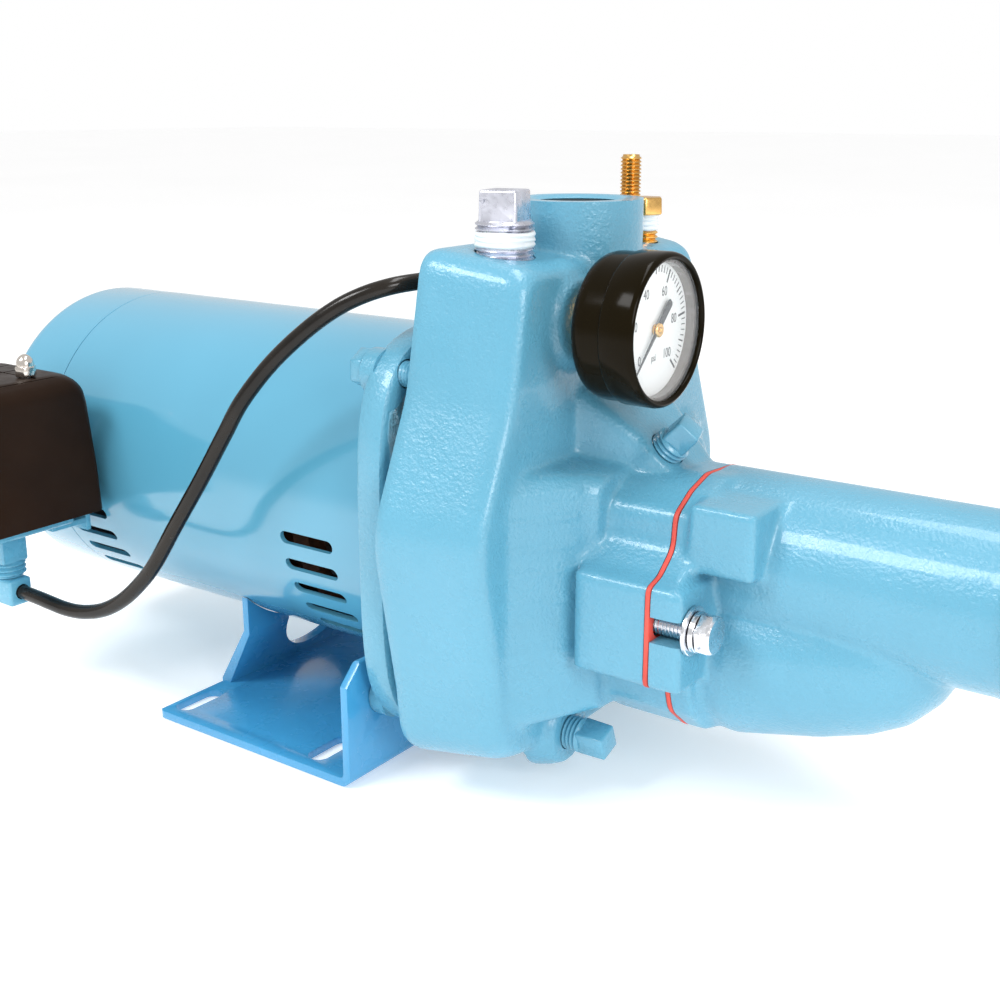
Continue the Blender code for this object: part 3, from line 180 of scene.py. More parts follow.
class JetPumpStageSettings(bpy.types.PropertyGroup):
    key_power: FloatProperty(
        name="Key light", description="Power of the large soft light", default=11.0, min=0.0, max=200.0, unit="POWER",
    )
    fill_power: FloatProperty(
        name="Fill light", description="Power of the light from the suction side", default=5.0, min=0.0, max=200.0,
        unit="POWER",
    )
    sky: FloatProperty(
        name="Surround", description="Brightness of the white surround", default=1.0, min=0.0, max=5.0,
    )


# ---------------------------------------------------------------- making meshes


def at_shaft(x, y=0.0, rise=0.0):
    return (x, y, SHAFT_HEIGHT + rise)


def aim(bm, centre, direction, start=AHEAD):
    bm.transform(Vector(start).rotation_difference(Vector(direction)).to_matrix().to_4x4())
    bmesh.ops.translate(bm, vec=centre, verts=bm.verts)
    return bm


def turned(profile, centre=(0, 0, 0), direction=AHEAD, steps=96):
    """A solid of revolution from a closed (along, radius) outline."""
    bm = bmesh.new()
    verts = [bm.verts.new((along, radius, 0.0)) for along, radius in profile]
    edges = [bm.edges.new(pair) for pair in zip(verts, verts[1:] + verts[:1])]
    bmesh.ops.spin(
        bm, geom=verts + edges, cent=(0, 0, 0), axis=(1, 0, 0), angle=math.tau, steps=steps, use_merge=True
    )
    bmesh.ops.remove_doubles(bm, verts=bm.verts, dist=1e-4)
    loose = [edge for edge in bm.edges if not edge.link_faces]
    bmesh.ops.delete(bm, geom=loose, context="EDGES")
    bmesh.ops.recalc_face_normals(bm, faces=bm.faces)
    return aim(bm, centre, direction)


def rod(start, end, radius, centre=(0, 0, 0), direction=AHEAD, steps=48):
    return turned([(start, 0), (end, 0), (end, radius), (start, radius)], centre, direction, steps)


def ring(start, end, inner, outer, centre=(0, 0, 0), direction=AHEAD, steps=96):
    return turned([(start, inner), (end, inner), (end, outer), (start, outer)], centre, direction, steps)


def block(x, y, z):
    bm = bmesh.new()
    bmesh.ops.create_cube(bm, size=1.0)
    bmesh.ops.scale(bm, vec=[b - a for a, b in (x, y, z)], verts=bm.verts)
    bmesh.ops.translate(bm, vec=[(a + b) / 2 for a, b in (x, y, z)], verts=bm.verts)
    return bm


def eased(bm, width, segments=3, sharper_than=30):
    """Rounds the edges that stand out sharper than the given angle."""
    limit = math.radians(sharper_than)
    edges = [e for e in bm.edges if len(e.link_faces) == 2 and e.calc_face_angle(0) > limit]
    bmesh.ops.bevel(
        bm, geom=edges, offset=width, offset_type="OFFSET", segments=segments, affect="EDGES", profile=0.5,
        material=-1, clamp_overlap=True,
    )
    return bm


def many_sided(start, end, across_flats, sides, centre, direction=AHEAD, turn=0.0, ease=0.5):
    bm = bmesh.new()
    radius = across_flats / 2 / math.cos(math.pi / sides)
    bmesh.ops.create_cone(bm, cap_ends=True, segments=sides, radius1=radius, radius2=radius, depth=end - start)
    bm.transform(Matrix.Rotation(math.radians(turn) + math.pi / sides, 4, "Z"))
    bmesh.ops.translate(bm, vec=(0, 0, (start + end) / 2), verts=bm.verts)
    eased(bm, ease, 2)
    return aim(bm, centre, direction, UP)


def outline_face(bm, points):
    return bm.faces.new([bm.verts.new(point) for point in points])


def raised(points, offset):
    """A flat outline drawn out along an offset."""
    bm = bmesh.new()
    face = outline_face(bm, points)
    made = bmesh.ops.extrude_face_region(bm, geom=[face])
    verts = [item for item in made["geom"] if isinstance(item, bmesh.types.BMVert)]
    bmesh.ops.translate(bm, vec=offset, verts=verts)
    bmesh.ops.recalc_face_normals(bm, faces=bm.faces)
    return bm


def bridged(rings):
    """A closed solid through outlines that hold the same number of points."""
    bm = bmesh.new()
    loops = []
    for points in rings:
        verts = [bm.verts.new(point) for point in points]
        loops.append([bm.edges.new(pair) for pair in zip(verts, verts[1:] + verts[:1])])
    for near, far in zip(loops, loops[1:]):
        bmesh.ops.bridge_loops(bm, edges=near + far)
    bmesh.ops.holes_fill(bm, edges=bm.edges, sides=0)
    bmesh.ops.recalc_face_normals(bm, faces=bm.faces)
    return bm


def rounded(corners, steps=6):
    """An outline whose (a, b, radius) corners are replaced by arcs."""
    outline = []
    for i, (a, b, radius) in enumerate(corners):
        here = Vector((a, b))
        before = (Vector(corners[i - 1][:2]) - here).normalized()
        after = (Vector(corners[(i + 1) % len(corners)][:2]) - here).normalized()
        half = before.angle(after) / 2
        centre = here + (before + after).normalized() * radius / math.sin(half)
        first = here + before * radius / math.tan(half) - centre
        last = here + after * radius / math.tan(half) - centre
        sweep = first.angle_signed(last)
        for k in range(steps + 1):
            arm = first.copy()
            arm.rotate(Matrix.Rotation(-sweep * k / steps, 2))
            outline.append(tuple(centre + arm))
    return outline


def box_corners(a, b, radius):
    return [(a[1], b[1], radius), (a[1], b[0], radius), (a[0], b[0], radius), (a[0], b[1], radius)]


def mirrored(half):
    return half + [(-a, b, radius) for a, b, radius in reversed(half)]


def merged(*parts):
    """Several meshes kept as separate shells of one."""
    whole = bmesh.new()
    for bm in parts:
        mesh = bpy.data.meshes.new("part")
        bm.to_mesh(mesh)
        bm.free()
        whole.from_mesh(mesh)
        bpy.data.meshes.remove(mesh)
    return whole


def to_object(name, bm):
    bmesh.ops.scale(bm, vec=(MM, MM, MM), verts=bm.verts)
    mesh = bpy.data.meshes.new(name)
    bm.to_mesh(mesh)
    bm.free()
    obj = bpy.data.objects.new(name, mesh)
    bpy.context.scene.collection.objects.link(obj)
    return obj


def settle(obj):
    """Makes the object's modifiers part of its mesh."""
    graph = bpy.context.evaluated_depsgraph_get()
    graph.update()
    mesh = bpy.data.meshes.new_from_object(obj.evaluated_get(graph))
    obj.modifiers.clear()
    old = obj.data
    obj.data = mesh
    bpy.data.meshes.remove(old)
    return obj


def shaped(obj, operation, shapes):
    """One exact Boolean with several shapes, settled into the mesh."""
    helpers = bpy.data.collections.new("helpers")
    for shape in shapes:
        bmesh.ops.recalc_face_normals(shape, faces=shape.faces)
        helper = to_object("helper", shape)
        bpy.context.scene.collection.objects.unlink(helper)
        helpers.objects.link(helper)
    modifier = obj.modifiers.new("shape", "BOOLEAN")
    modifier.operation = operation
    modifier.solver = "EXACT"
    modifier.operand_type = "COLLECTION"
    modifier.collection = helpers
    settle(obj)
    for helper in list(helpers.objects):
        bpy.data.objects.remove(helper)
    bpy.data.collections.remove(helpers)
    return obj


def clean(obj):
    bm = bmesh.new()
    bm.from_mesh(obj.data)
    bmesh.ops.remove_doubles(bm, verts=bm.verts, dist=2e-6)
    loose = [v for v in bm.verts if not v.link_faces]
    bmesh.ops.delete(bm, geom=loose, context="VERTS")
    bm.to_mesh(obj.data)
    bm.free()
    return obj


def finished(obj, material, nodes=(), body="pump", slot=None, crease=32):
    """Gives a piece its material and crisp edges, and sets what it rides on and which nodes it stands for."""
    obj.data.materials.clear()
    obj.data.materials.append(material)
    obj.data.shade_smooth()
    obj.data.set_sharp_from_angle(angle=math.radians(crease))
    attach(obj, body)
    if nodes:
        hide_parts(*nodes)
    return obj


def made(name, bm, material, nodes=(), body="pump", slot=None, crease=32):
    return finished(to_object(name, bm), material, nodes, body, slot, crease)


def casting(name, solids, cutters, grow=None):
    """Runs overlapping solids together with soft fillets, as sand casting leaves them, then machines them."""
    settings = bpy.context.scene.jet_pump_casting
    obj = to_object(name, merged(*solids))
    remesh = obj.modifiers.new("run together", "REMESH")
    remesh.mode = "VOXEL"
    remesh.voxel_size = settings.grain * 1.0
    settle(obj)
    bm = bmesh.new()
    bm.from_mesh(obj.data)
    for _ in range(settings.softness):
        bmesh.ops.smooth_vert(bm, verts=bm.verts, factor=0.5, use_axis_x=True, use_axis_y=True, use_axis_z=True)
    if grow:
        bm.normal_update()
        for vert in bm.verts:
            vert.co += vert.normal * grow(vert.co / MM, vert.normal) * MM
    bm.to_mesh(obj.data)
    bm.free()
    return clean(shaped(obj, "DIFFERENCE", cutters))


def thread_profile(start, end, root, crest, pitch):
    """The toothed edge of a thread, as (along, radius) points from start to end."""
    turns = max(1, round((end - start) / pitch))
    step = (end - start) / turns
    points = []
    for k in range(turns):
        along = start + k * step
        points += [(along, root), (along + 0.38 * step, crest), (along + 0.55 * step, crest)]
    return points + [(end, root)]


# ---------------------------------------------------------------- materials


def surface(name, colour, roughness, metallic=0.0, mottle=0.12, mottle_size=14.0, bumps=(), spread=0.06,
            coat=0.0, tint=None, edge=None, **sockets):
    """A finish with colour drift, uneven gloss and one or more scales of surface grain.

    Each bump is (lumps per metre, detail, strength, depth in millimetres).
    """
    material = bpy.data.materials.new(name)
    material.use_nodes = True
    nodes, links = material.node_tree.nodes, material.node_tree.links
    shader = nodes["Principled BSDF"]
    place = nodes.new("ShaderNodeTexCoord").outputs["Object"]
    drift = nodes.new("ShaderNodeTexNoise")
    drift.inputs["Scale"].default_value = mottle_size
    drift.inputs["Detail"].default_value = 4.0
    links.new(place, drift.inputs["Vector"])
    ramp = nodes.new("ShaderNodeValToRGB")
    other = tint or tuple(min(1.0, c * (1 + 2 * mottle)) for c in colour)
    ramp.color_ramp.elements[0].position = 0.35
    ramp.color_ramp.elements[0].color = (*[c * (1 - mottle) for c in colour], 1)
    ramp.color_ramp.elements[1].position = 0.68
    ramp.color_ramp.elements[1].color = (*other, 1)
    links.new(drift.outputs["Fac"], ramp.inputs["Fac"])
    shade = ramp.outputs["Color"]
    if edge:
        shade = worn(nodes, links, shade, place, edge)
    links.new(shade, shader.inputs["Base Color"])
    gloss = nodes.new("ShaderNodeMapRange")
    gloss.inputs["From Min"].default_value = 0.3
    gloss.inputs["From Max"].default_value = 0.7
    gloss.inputs["To Min"].default_value = max(0.02, roughness - spread)
    gloss.inputs["To Max"].default_value = roughness + spread
    fine = nodes.new("ShaderNodeTexNoise")
    fine.inputs["Scale"].default_value = mottle_size * 9
    fine.inputs["Detail"].default_value = 3.0
    links.new(place, fine.inputs["Vector"])
    links.new(fine.outputs["Fac"], gloss.inputs["Value"])
    links.new(gloss.outputs["Result"], shader.inputs["Roughness"])
    normal = None
    for scale, detail, strength, depth in bumps:
        grain = nodes.new("ShaderNodeTexNoise")
        grain.inputs["Scale"].default_value = scale
        grain.inputs["Detail"].default_value = detail
        grain.inputs["Roughness"].default_value = 0.55
        links.new(place, grain.inputs["Vector"])
        bump = nodes.new("ShaderNodeBump")
        bump.inputs["Strength"].default_value = strength
        bump.inputs["Distance"].default_value = depth * MM
        links.new(grain.outputs["Fac"], bump.inputs["Height"])
        if normal:
            links.new(normal, bump.inputs["Normal"])
        normal = bump.outputs["Normal"]
    if normal:
        links.new(normal, shader.inputs["Normal"])
    shader.inputs["Metallic"].default_value = metallic
    shader.inputs["Coat Weight"].default_value = coat
    shader.inputs["Coat Roughness"].default_value = 0.08
    for socket, value in sockets.items():
        shader.inputs[socket.replace("_", " ")].default_value = value
    return material


def worn(nodes, links, shade, place, edge):
    """Specks of another colour scattered over the surface: (colour, specks per metre, how much of it)."""
    colour, scale, share = edge
    speck = nodes.new("ShaderNodeTexNoise")
    speck.inputs["Scale"].default_value = scale
    speck.inputs["Detail"].default_value = 5.0
    speck.inputs["Roughness"].default_value = 0.7
    links.new(place, speck.inputs["Vector"])
    cut = nodes.new("ShaderNodeMapRange")
    cut.inputs["From Min"].default_value = 0.68 - share
    cut.inputs["From Max"].default_value = 0.74 - share
    links.new(speck.outputs["Fac"], cut.inputs["Value"])
    mix = nodes.new("ShaderNodeMix")
    mix.data_type = "RGBA"
    links.new(cut.outputs["Result"], mix.inputs[0])
    links.new(shade, mix.inputs[6])
    mix.inputs[7].default_value = (*colour, 1)
    return mix.outputs[2]


FINISHES = {}


def finish(name):
    """One material per finish, made the first time it is asked for."""
    if name in FINISHES:
        return FINISHES[name]
    casting_settings = bpy.context.scene.jet_pump_casting
    motor_settings = bpy.context.scene.jet_pump_motor
    trim_settings = bpy.context.scene.jet_pump_trim
    cast, sheet = tuple(casting_settings.paint), tuple(motor_settings.paint)
    recipes = {
        "cast enamel": dict(
            colour=cast, roughness=0.30, mottle=0.05, mottle_size=9, coat=0.35,
            bumps=((260, 3, 0.35, 0.6), (820, 2, 0.75, 0.42)), spread=0.08,
        ),
        "sheet enamel": dict(
            colour=sheet, roughness=0.16, mottle=0.04, mottle_size=6, coat=0.6,
            bumps=((16, 2, 0.30, 1.6), (900, 2, 0.06, 0.05)), spread=0.04,
        ),
        # Painted shade: the sheet paint made darker and more saturated for the foot, which sits in shade under the
        # motor.
        "foot painted shade enamel": dict(
            colour=(sheet[0] * 0.55, sheet[1] * 0.90, sheet[2] * 1.15), roughness=0.26, mottle=0.06,
            mottle_size=10, coat=0.4,
            bumps=((60, 3, 0.15, 0.4), (1100, 2, 0.12, 0.08)),
        ),
        "brush enamel": dict(
            colour=tuple(c * 1.02 for c in cast), roughness=0.28, mottle=0.08, mottle_size=30, coat=0.4,
            bumps=((500, 3, 0.3, 0.2),),
        ),
        "machined enamel": dict(
            colour=(0.07, 0.11, 0.14), roughness=0.4, metallic=0.5, mottle=0.3, mottle_size=90,
            bumps=((700, 3, 0.3, 0.1),),
        ),
        "gasket": dict(
            colour=tuple(casting_settings.gasket), roughness=0.6, mottle=0.15, mottle_size=60,
            bumps=((900, 3, 0.3, 0.12),),
        ),
        "zinc": dict(
            colour=(0.66, 0.67, 0.70), roughness=0.22, metallic=1.0, mottle=0.18, mottle_size=70,
            bumps=((240, 4, 0.2, 0.1),), spread=0.08, edge=((0.34, 0.36, 0.42), 160, 0.06),
        ),
        "galvanised": dict(
            colour=(0.60, 0.61, 0.68), roughness=0.30, metallic=0.9, mottle=0.22, mottle_size=55,
            bumps=((180, 4, 0.35, 0.25),), spread=0.1, edge=((0.30, 0.32, 0.40), 120, 0.08),
        ),
        "brass": dict(
            colour=(0.72, 0.43, 0.14), roughness=0.24, metallic=1.0, mottle=0.16, mottle_size=60,
            bumps=((300, 3, 0.15, 0.08),), spread=0.07,
        ),
        "thread tape": dict(
            colour=(0.86, 0.86, 0.86), roughness=0.5, mottle=0.04, mottle_size=60,
            bumps=((160, 4, 0.4, 0.25), (900, 2, 0.2, 0.08)), Subsurface_Weight=0.15,
        ),
        "gauge enamel": dict(
            colour=(0.006, 0.004, 0.001), roughness=0.13, mottle=0.2, mottle_size=12,
            bumps=((12, 2, 0.12, 0.5),), spread=0.03, Specular_IOR_Level=0.07,
        ),
        "dial white": dict(
            colour=(0.86, 0.87, 0.86), roughness=0.4, mottle=0.02, mottle_size=30, bumps=((700, 2, 0.05, 0.03),),
        ),
        "dial ink": dict(
            colour=(0.012, 0.012, 0.014), roughness=0.4, mottle=0.2, mottle_size=80, bumps=((900, 2, 0.05, 0.02),),
        ),
        "inner ring": dict(
            colour=(0.20, 0.18, 0.165), roughness=0.28, mottle=0.1, mottle_size=20, bumps=((300, 2, 0.05, 0.05),),
        ),
        "switch cover": dict(
            colour=tuple(trim_settings.cover), roughness=0.36, mottle=0.3, mottle_size=16,
            bumps=((600, 3, 0.18, 0.1),), spread=0.06, Specular_IOR_Level=0.08,
        ),
        "acorn nickel": dict(
            colour=(0.62, 0.57, 0.52), roughness=0.16, metallic=1.0, mottle=0.12, mottle_size=50,
            bumps=((300, 2, 0.1, 0.05),), spread=0.05,
        ),
        "tube": dict(
            colour=(0.009, 0.007, 0.005), roughness=0.2, mottle=0.4, mottle_size=40, Specular_IOR_Level=0.3,
            bumps=((260, 3, 0.12, 0.12),), edge=((0.09, 0.07, 0.05), 420, -0.02), spread=0.08,
        ),
        "bright steel": dict(
            colour=(0.55, 0.55, 0.54), roughness=0.3, metallic=1.0, mottle=0.15, mottle_size=50,
            bumps=((400, 3, 0.15, 0.08),),
        ),
        "dark steel": dict(
            colour=(0.05, 0.055, 0.06), roughness=0.5, metallic=0.7, mottle=0.3, mottle_size=40,
            bumps=((500, 3, 0.3, 0.15),),
        ),
        "winding": dict(
            colour=(0.10, 0.035, 0.015), roughness=0.5, metallic=0.4, mottle=0.4, mottle_size=120,
            bumps=((300, 2, 0.6, 0.4),),
        ),
        "black moulding": dict(
            colour=(0.02, 0.02, 0.021), roughness=0.45, mottle=0.3, mottle_size=30, bumps=((600, 3, 0.2, 0.1),),
        ),
        "ceramic": dict(
            colour=(0.78, 0.77, 0.73), roughness=0.3, mottle=0.06, mottle_size=40, bumps=((500, 2, 0.1, 0.05),),
        ),
        # Near-black paint for painted shade: it lines the discharge port and sits under the shell's seam so that they
        # read dark.
        "painted cavity shade": dict(
            colour=(0.035, 0.045, 0.05), roughness=0.7, mottle=0.4, mottle_size=50, bumps=((300, 4, 0.5, 0.4),),
        ),
    }
    FINISHES[name] = surface(name.replace(" ", "_"), **recipes[name])
    return FINISHES[name]


def lens_glass():
    material = surface("lens_glass", (0.9, 0.93, 0.95), 0.04, mottle=0.0, mottle_size=10, spread=0.02)
    material.node_tree.nodes["Principled BSDF"].inputs["Alpha"].default_value = 0.08
    return material


# ---------------------------------------------------------------- castings


def casing_corners(inset):
    """The casing seen along the shaft: narrow at the top, widest round the volute, square at the bottom."""
    half = [
        (62.5, 105.5, 9), (72.0, 57.5, 55), (92.0, 11.5, 38), (81.0, -49.5, 30), (78.5, -75.5, 17),
        (36.0, -82.5, 40),
    ]
    wide, tall = 1 - inset / 85, 1 - inset / 95
    return mirrored([(y * wide, 8 + (rise - 8) * tall, radius) for y, rise, radius in half])


def casing_ring(x, inset):
    return [at_shaft(x, y, rise) for y, rise in rounded(casing_corners(inset))]


def box_ring(x, half_width, low, high, radius):
    corners = box_corners((-half_width, half_width), (low, high), radius)
    return [at_shaft(x, y, rise) for y, rise in rounded(corners)]


def neck_outline(grow=0.0):
    lower = [
        (35.5, 8.5, 8), (44.5, 1.2, 6), (52, -0.8, 3), (52, -36.5, 3), (37, -39, 5), (33, -52, 12), (19, -63.5, 10),
    ]
    near = [(-12, 29.8, 9), (-24, 26.2, 6), (-34.5, 20.0, 5)]
    far = [(10, 28.2, 14), (25, 17.5, 14)]
    outline = far + lower + [(-y, rise, radius) for y, rise, radius in reversed(lower)] + near[::-1]
    return rounded([(y + math.copysign(grow, y), rise + grow * 0.3, radius) for y, rise, radius in outline])


def neck_solid(start, end, grow=0.0):
    points = [at_shaft(start, y, rise) for y, rise in neck_outline(grow)]
    return raised(points, (end - start, 0, 0))


def corner_places():
    return [(y, rise) for y in (-64, 64) for rise in (62.5, -62.5)]


RIB_HEIGHTS = (121, 112, 102, 93, 82, 63.5)


def wedge_ribs(place, normal):
    """Fine cast ribs across the two slanting faces that run in to the neck."""
    x, y, z = place
    if not (CASING_FRONT - 2 < x < CASING_FRONT + 14 and 40 < abs(y) < 74 and abs(normal.x) > 0.6):
        return 0.0
    fade = min(1.0, (abs(y) - 40) / 6, (74 - abs(y)) / 6)
    return sum(0.45 * fade * math.exp(-(((z - height) / 1.1) ** 2)) for height in RIB_HEIGHTS)


class JETPUMP_OT_casing(bpy.types.Operator):
    """Cast pump casing with its discharge boss, gauge boss, volute and ejector neck"""

    bl_idname = "jet_pump.casing"
    bl_label = "Pump casing"

    def execute(self, context):
        back, front = CASING_BACK, CASING_FRONT
        solids = [
            bridged([
                casing_ring(back - 3, 2.2), casing_ring(back, 0.6), casing_ring(back + 3, 0),
                casing_ring(front - 6.5, 4.2), casing_ring(front - 1.8, 6.0), casing_ring(front + 0.4, 8.5),
            ]),
            bridged([
                box_ring(front - 6, 74, -63, 35, 12), box_ring(front, 70, -61, 33, 12),
                box_ring(front + 16, 43, -59, 30, 9), box_ring(front + 19, 40, -58, 29, 8),
            ]),
            bridged([
                box_ring(front - 6, 30, 10, 61, 6), box_ring(front + 3, 26.5, 10, 56, 5),
                box_ring(NECK_FACE - 10, 13, 10, 29.8, 4),
            ]),
            neck_solid(NECK_FACE - 28, NECK_FACE + 3, 0.3),
            rod(CASING_TOP - 15, BOSS_TOP + 4, 23.9, (DISCHARGE_X, 0, 0), UP, 96),
            rod(SHAFT_HEIGHT + 20, CASING_TOP - 4, 21.2, (DISCHARGE_X + 3.1, 0, 0), UP, 96),
            turned([
                (front - 6, 0), (front - 6, 21.5), (front, 18.5), (front + 2.2, 15.6), (front + 4.6, 14.8),
                (front + 4.6, 0),
            ], at_shaft(0, GAUGE_Y, GAUGE_Z - SHAFT_HEIGHT)),
            turned([
                (front - 8, 0), (front - 8, 16), (front - 1, 14), (front + 3.9, 11.7), (front + 3.9, 0),
            ], at_shaft(0, DRAIN_Y, DRAIN_RISE)),
            turned([(-14, 0), (-14, 11.7), (0.4, 9.8), (0.4, 0)], TAPPING_PLACE, TAPPING_AXIS),
            block((front - 32, front - 2), (-72, 72), (SHAFT_HEIGHT - 64.5, SHAFT_HEIGHT - 49.5)),
        ]
        cutters = [
            block((back - 9, back + 0.01), (-120, 120), (-20, 240)),
            block((NECK_FACE, NECK_FACE + 9), (-80, 80), (0, 180)),
            block((DISCHARGE_X - 40, DISCHARGE_X + 40), (-40, 40), (BOSS_TOP, BOSS_TOP + 9)),
            rod(back - 5, CAVITY_FRONT, 60.0, at_shaft(0), steps=128),
            turned([
                (SHAFT_HEIGHT + 30, 0), (BOSS_TOP + 2, 0), (BOSS_TOP + 2, 19.0), (BOSS_TOP, 17.5),
                *reversed(thread_profile(BOSS_TOP - 17, BOSS_TOP - 1.2, 15.5, 16.5, 2.2)),
                (SHAFT_HEIGHT + 30, 15.4),
            ], (DISCHARGE_X, 0, 0), UP, 96),
            rod(CAVITY_FRONT - 2, NECK_FACE + 1, EYE_BORE, at_shaft(0), steps=64),
            rod(CAVITY_FRONT - 2, NECK_FACE + 1, RETURN_BORE, at_shaft(0, 0, -36), steps=64),
            rod(-70, 8, 10.5, PRIMING_PLACE, UP, 64),
            rod(-14, 8, 5.4, BRASS_PLUG_PLACE, UP, 48),
            rod(-18, 8, 4.4, (DISCHARGE_X - 8, 51.7, CASING_TOP), UP, 48),
            rod(front - 4, front + 9, 6.9, at_shaft(0, GAUGE_Y, GAUGE_Z - SHAFT_HEIGHT), steps=48),
            rod(front - 12, front + 9, 6.9, at_shaft(0, DRAIN_Y, DRAIN_RISE), steps=48),
            rod(-10, 3, 6.9, TAPPING_PLACE, TAPPING_AXIS, 48),
            rod(back - 1, back + 9, 4.0, at_shaft(0, -22, 92.7), steps=32),
        ]
        for y, rise in corner_places():
            cutters.append(rod(back - 1, back + 16, 5.0, at_shaft(0, y, rise), steps=32))
        for sign in (-1, 1):
            bolt_place = at_shaft(0, sign * JOINT_BOLT_Y, JOINT_BOLT_RISE)
            cutters.append(rod(NECK_FACE - 18, NECK_FACE + 1, 5.0, bolt_place, steps=32))
        casing = casting("casing_casting", solids, cutters, wedge_ribs)
        finished(casing, finish("cast enamel"), ["pump_casing"], slot="blue_cast", crease=40)
        # Painted shade: a thin near-black sleeve just inside the threads of the discharge port makes the bore look
        # dark.
        inside = ring(BOSS_TOP - 20, BOSS_TOP - 1.6, 15.1, 15.35, (DISCHARGE_X, 0, 0), UP, 64)
        made("port_painted_shade", inside, finish("painted cavity shade"), slot="blue_cast")
        return {"FINISHED"}


def circle_ring(x, rise, radius, count=64):
    turns = [math.tau * k / count for k in range(count)]
    return [at_shaft(x, radius * math.sin(turn), rise + radius * math.cos(turn)) for turn in turns]


class JETPUMP_OT_ejector(bpy.types.Operator):
    """Cast ejector: the suction tube over the drive-water chamber, with its pads and slotted ears"""

    bl_idname = "jet_pump.ejector"
    bl_label = "Ejector"

    def execute(self, context):
        back, end = EJECTOR_BACK, EJECTOR_END
        nose = [
            (0, -33.5, 31.2), (16, -34.0, 32.4), (46, -29.5, 30.2), (62, -27.0, 27.5), (74, -25.0, 23.2),
            (83, -23.0, 15.8), (88, -22.0, 7.5),
        ]
        ears = [
            block(
                (back - 3, back + EAR_DEPTH), (sign * 38 - 14.1, sign * 38 + 14.1),
                (SHAFT_HEIGHT - 36.6, SHAFT_HEIGHT - 0.9),
            )
            for sign in (-1, 1)
        ]
        solids = [
            neck_solid(back - 3, back + 7.8, 0.3),
            bridged([circle_ring(back + x, rise, radius) for x, rise, radius in nose]),
            turned([
                (back - 3, 0), (back - 3, 29.7), (end - 26, 29.7), (end - 22, 32.0), (end + 3, 32.2), (end + 3, 0),
            ], at_shaft(0), steps=128),
            block((back + 5, back + 29.5), (-38.3, 0), (SHAFT_HEIGHT + 2.3, SHAFT_HEIGHT + 25.7)),
            block((back + 5, back + 70), (-20, 20), (SHAFT_HEIGHT - 40, SHAFT_HEIGHT)),
            *ears,
        ]
        height = SHAFT_HEIGHT + JOINT_BOLT_RISE
        cutters = [
            block((back - 9, back), (-80, 80), (0, 180)),
            block((end, end + 9), (-60, 60), (20, 170)),
            rod(back - 1, end - 28, EYE_BORE, at_shaft(0), steps=64),
            turned([
                (end - 30, 0), (end + 1, 0), (end + 1, 21.2),
                *reversed(thread_profile(end - 24, end - 1.8, 19.6, 20.7, 2.2)),
                (end - 30, 19.6),
            ], at_shaft(0), steps=96),
            rod(back - 1, back + 66, RETURN_BORE, at_shaft(0, 0, -33), steps=64),
            rod(-30, 0, 8.0, at_shaft(back + 58), UP, 48),
        ]
        for sign in (-1, 1):
            y = sorted((sign * 38, sign * 64))
            cutters.append(eased(block((back - 2, back + 14), y, (height - 4.5, height + 4.5)), 1.0, 3))
            cutters.append(rod(back + EAR_DEPTH, back + 27, 11.5, (0, sign * JOINT_BOLT_Y, height), steps=64))
        ejector = casting("ejector_casting", solids, cutters)
        finished(ejector, finish("cast enamel"), ["ejector_body"], slot="blue_cast", crease=40)
        return {"FINISHED"}


def flange_points(x, inset=0.0, count=144):
    points = []
    for i in range(count):
        c, s = math.cos(math.tau * i / count), math.sin(math.tau * i / count)
        radius = (abs(c) ** 4.4 + abs(s) ** 4.4) ** (-1 / 4.4)
        points.append(at_shaft(x, (80 - inset) * radius * c, (78 - inset) * radius * s))
    return points


class JETPUMP_OT_flange(bpy.types.Operator):
    """Cast end bell between the motor shell and the casing"""

    bl_idname = "jet_pump.flange"
    bl_label = "Motor flange"

    def execute(self, context):
        back, front = FLANGE_BACK, FLANGE_FRONT
        step = back + 4.2
        solid = bridged([
            flange_points(step, 1.3), flange_points(step + 0.4, 0.4), flange_points(step + 1.3, 0),
            flange_points(front - 2.4, 0), flange_points(front - 0.9, 0.4), flange_points(front - 0.2, 1.3),
            flange_points(front, 2.4),
        ])
        register = rod(back, step + 2, 69.3, at_shaft(0), steps=160)
        lugs = [rod(back, step + 2, 8.6, at_shaft(0, y * 0.985, rise * 0.985), steps=64) for y, rise in corner_places()]
        flange = shaped(to_object("flange_casting", solid), "UNION", [register, *lugs])
        cutters = [rod(back - 1, front + 1, 11, at_shaft(0), steps=64)]
        for y, rise in corner_places():
            cutters.append(rod(back - 1, front + 1, 5.2, at_shaft(0, y, rise), steps=32))
            cutters.append(rod(back - 1, front + 1, 10, at_shaft(0, y * 0.62, rise * 0.62), steps=48))
            side, up = math.copysign(1, y), math.copysign(1, rise)
            window = rounded([
                (side * a, up * b, radius) for a, b, radius in ((62, 56, 6), (73.5, 50, 6), (74.5, 34, 5), (62, 34, 3))
            ])
            cutters.append(raised([at_shaft(back - 1, a, b) for a, b in window], (front - back + 2, 0, 0)))
            slot = rounded(box_corners(sorted((side * 66, side * 75)), sorted((up * 2.5, up * 28)), 3))
            cutters.append(raised([at_shaft(back - 1, a, b) for a, b in slot], (front - back + 2, 0, 0)))
        shaped(flange, "DIFFERENCE", cutters)
        rim, seat, floor = 65.4, 20.3, back - 8
        hub = turned([
            (back - 8, rim), (back - 0.02, rim), (back - 0.02, 11), (floor, 11), (floor, seat), (back - 21, seat),
            (back - 21, seat + 5.7), (back - 8, seat + 5.7),
        ], at_shaft(0), steps=96)
        finished(clean(flange), finish("cast enamel"), ["motor_flange"], slot="blue_cast")
        hub_obj = made("flange_spigot", hub, finish("dark steel"), slot="dark_steel")
        shaped(hub_obj, "DIFFERENCE", [
            rod(back - 12, front + 1, 10, at_shaft(0, y * 0.62, rise * 0.62), steps=48)
            for y, rise in corner_places()
        ])
        return {"FINISHED"}


# ---------------------------------------------------------------- motor


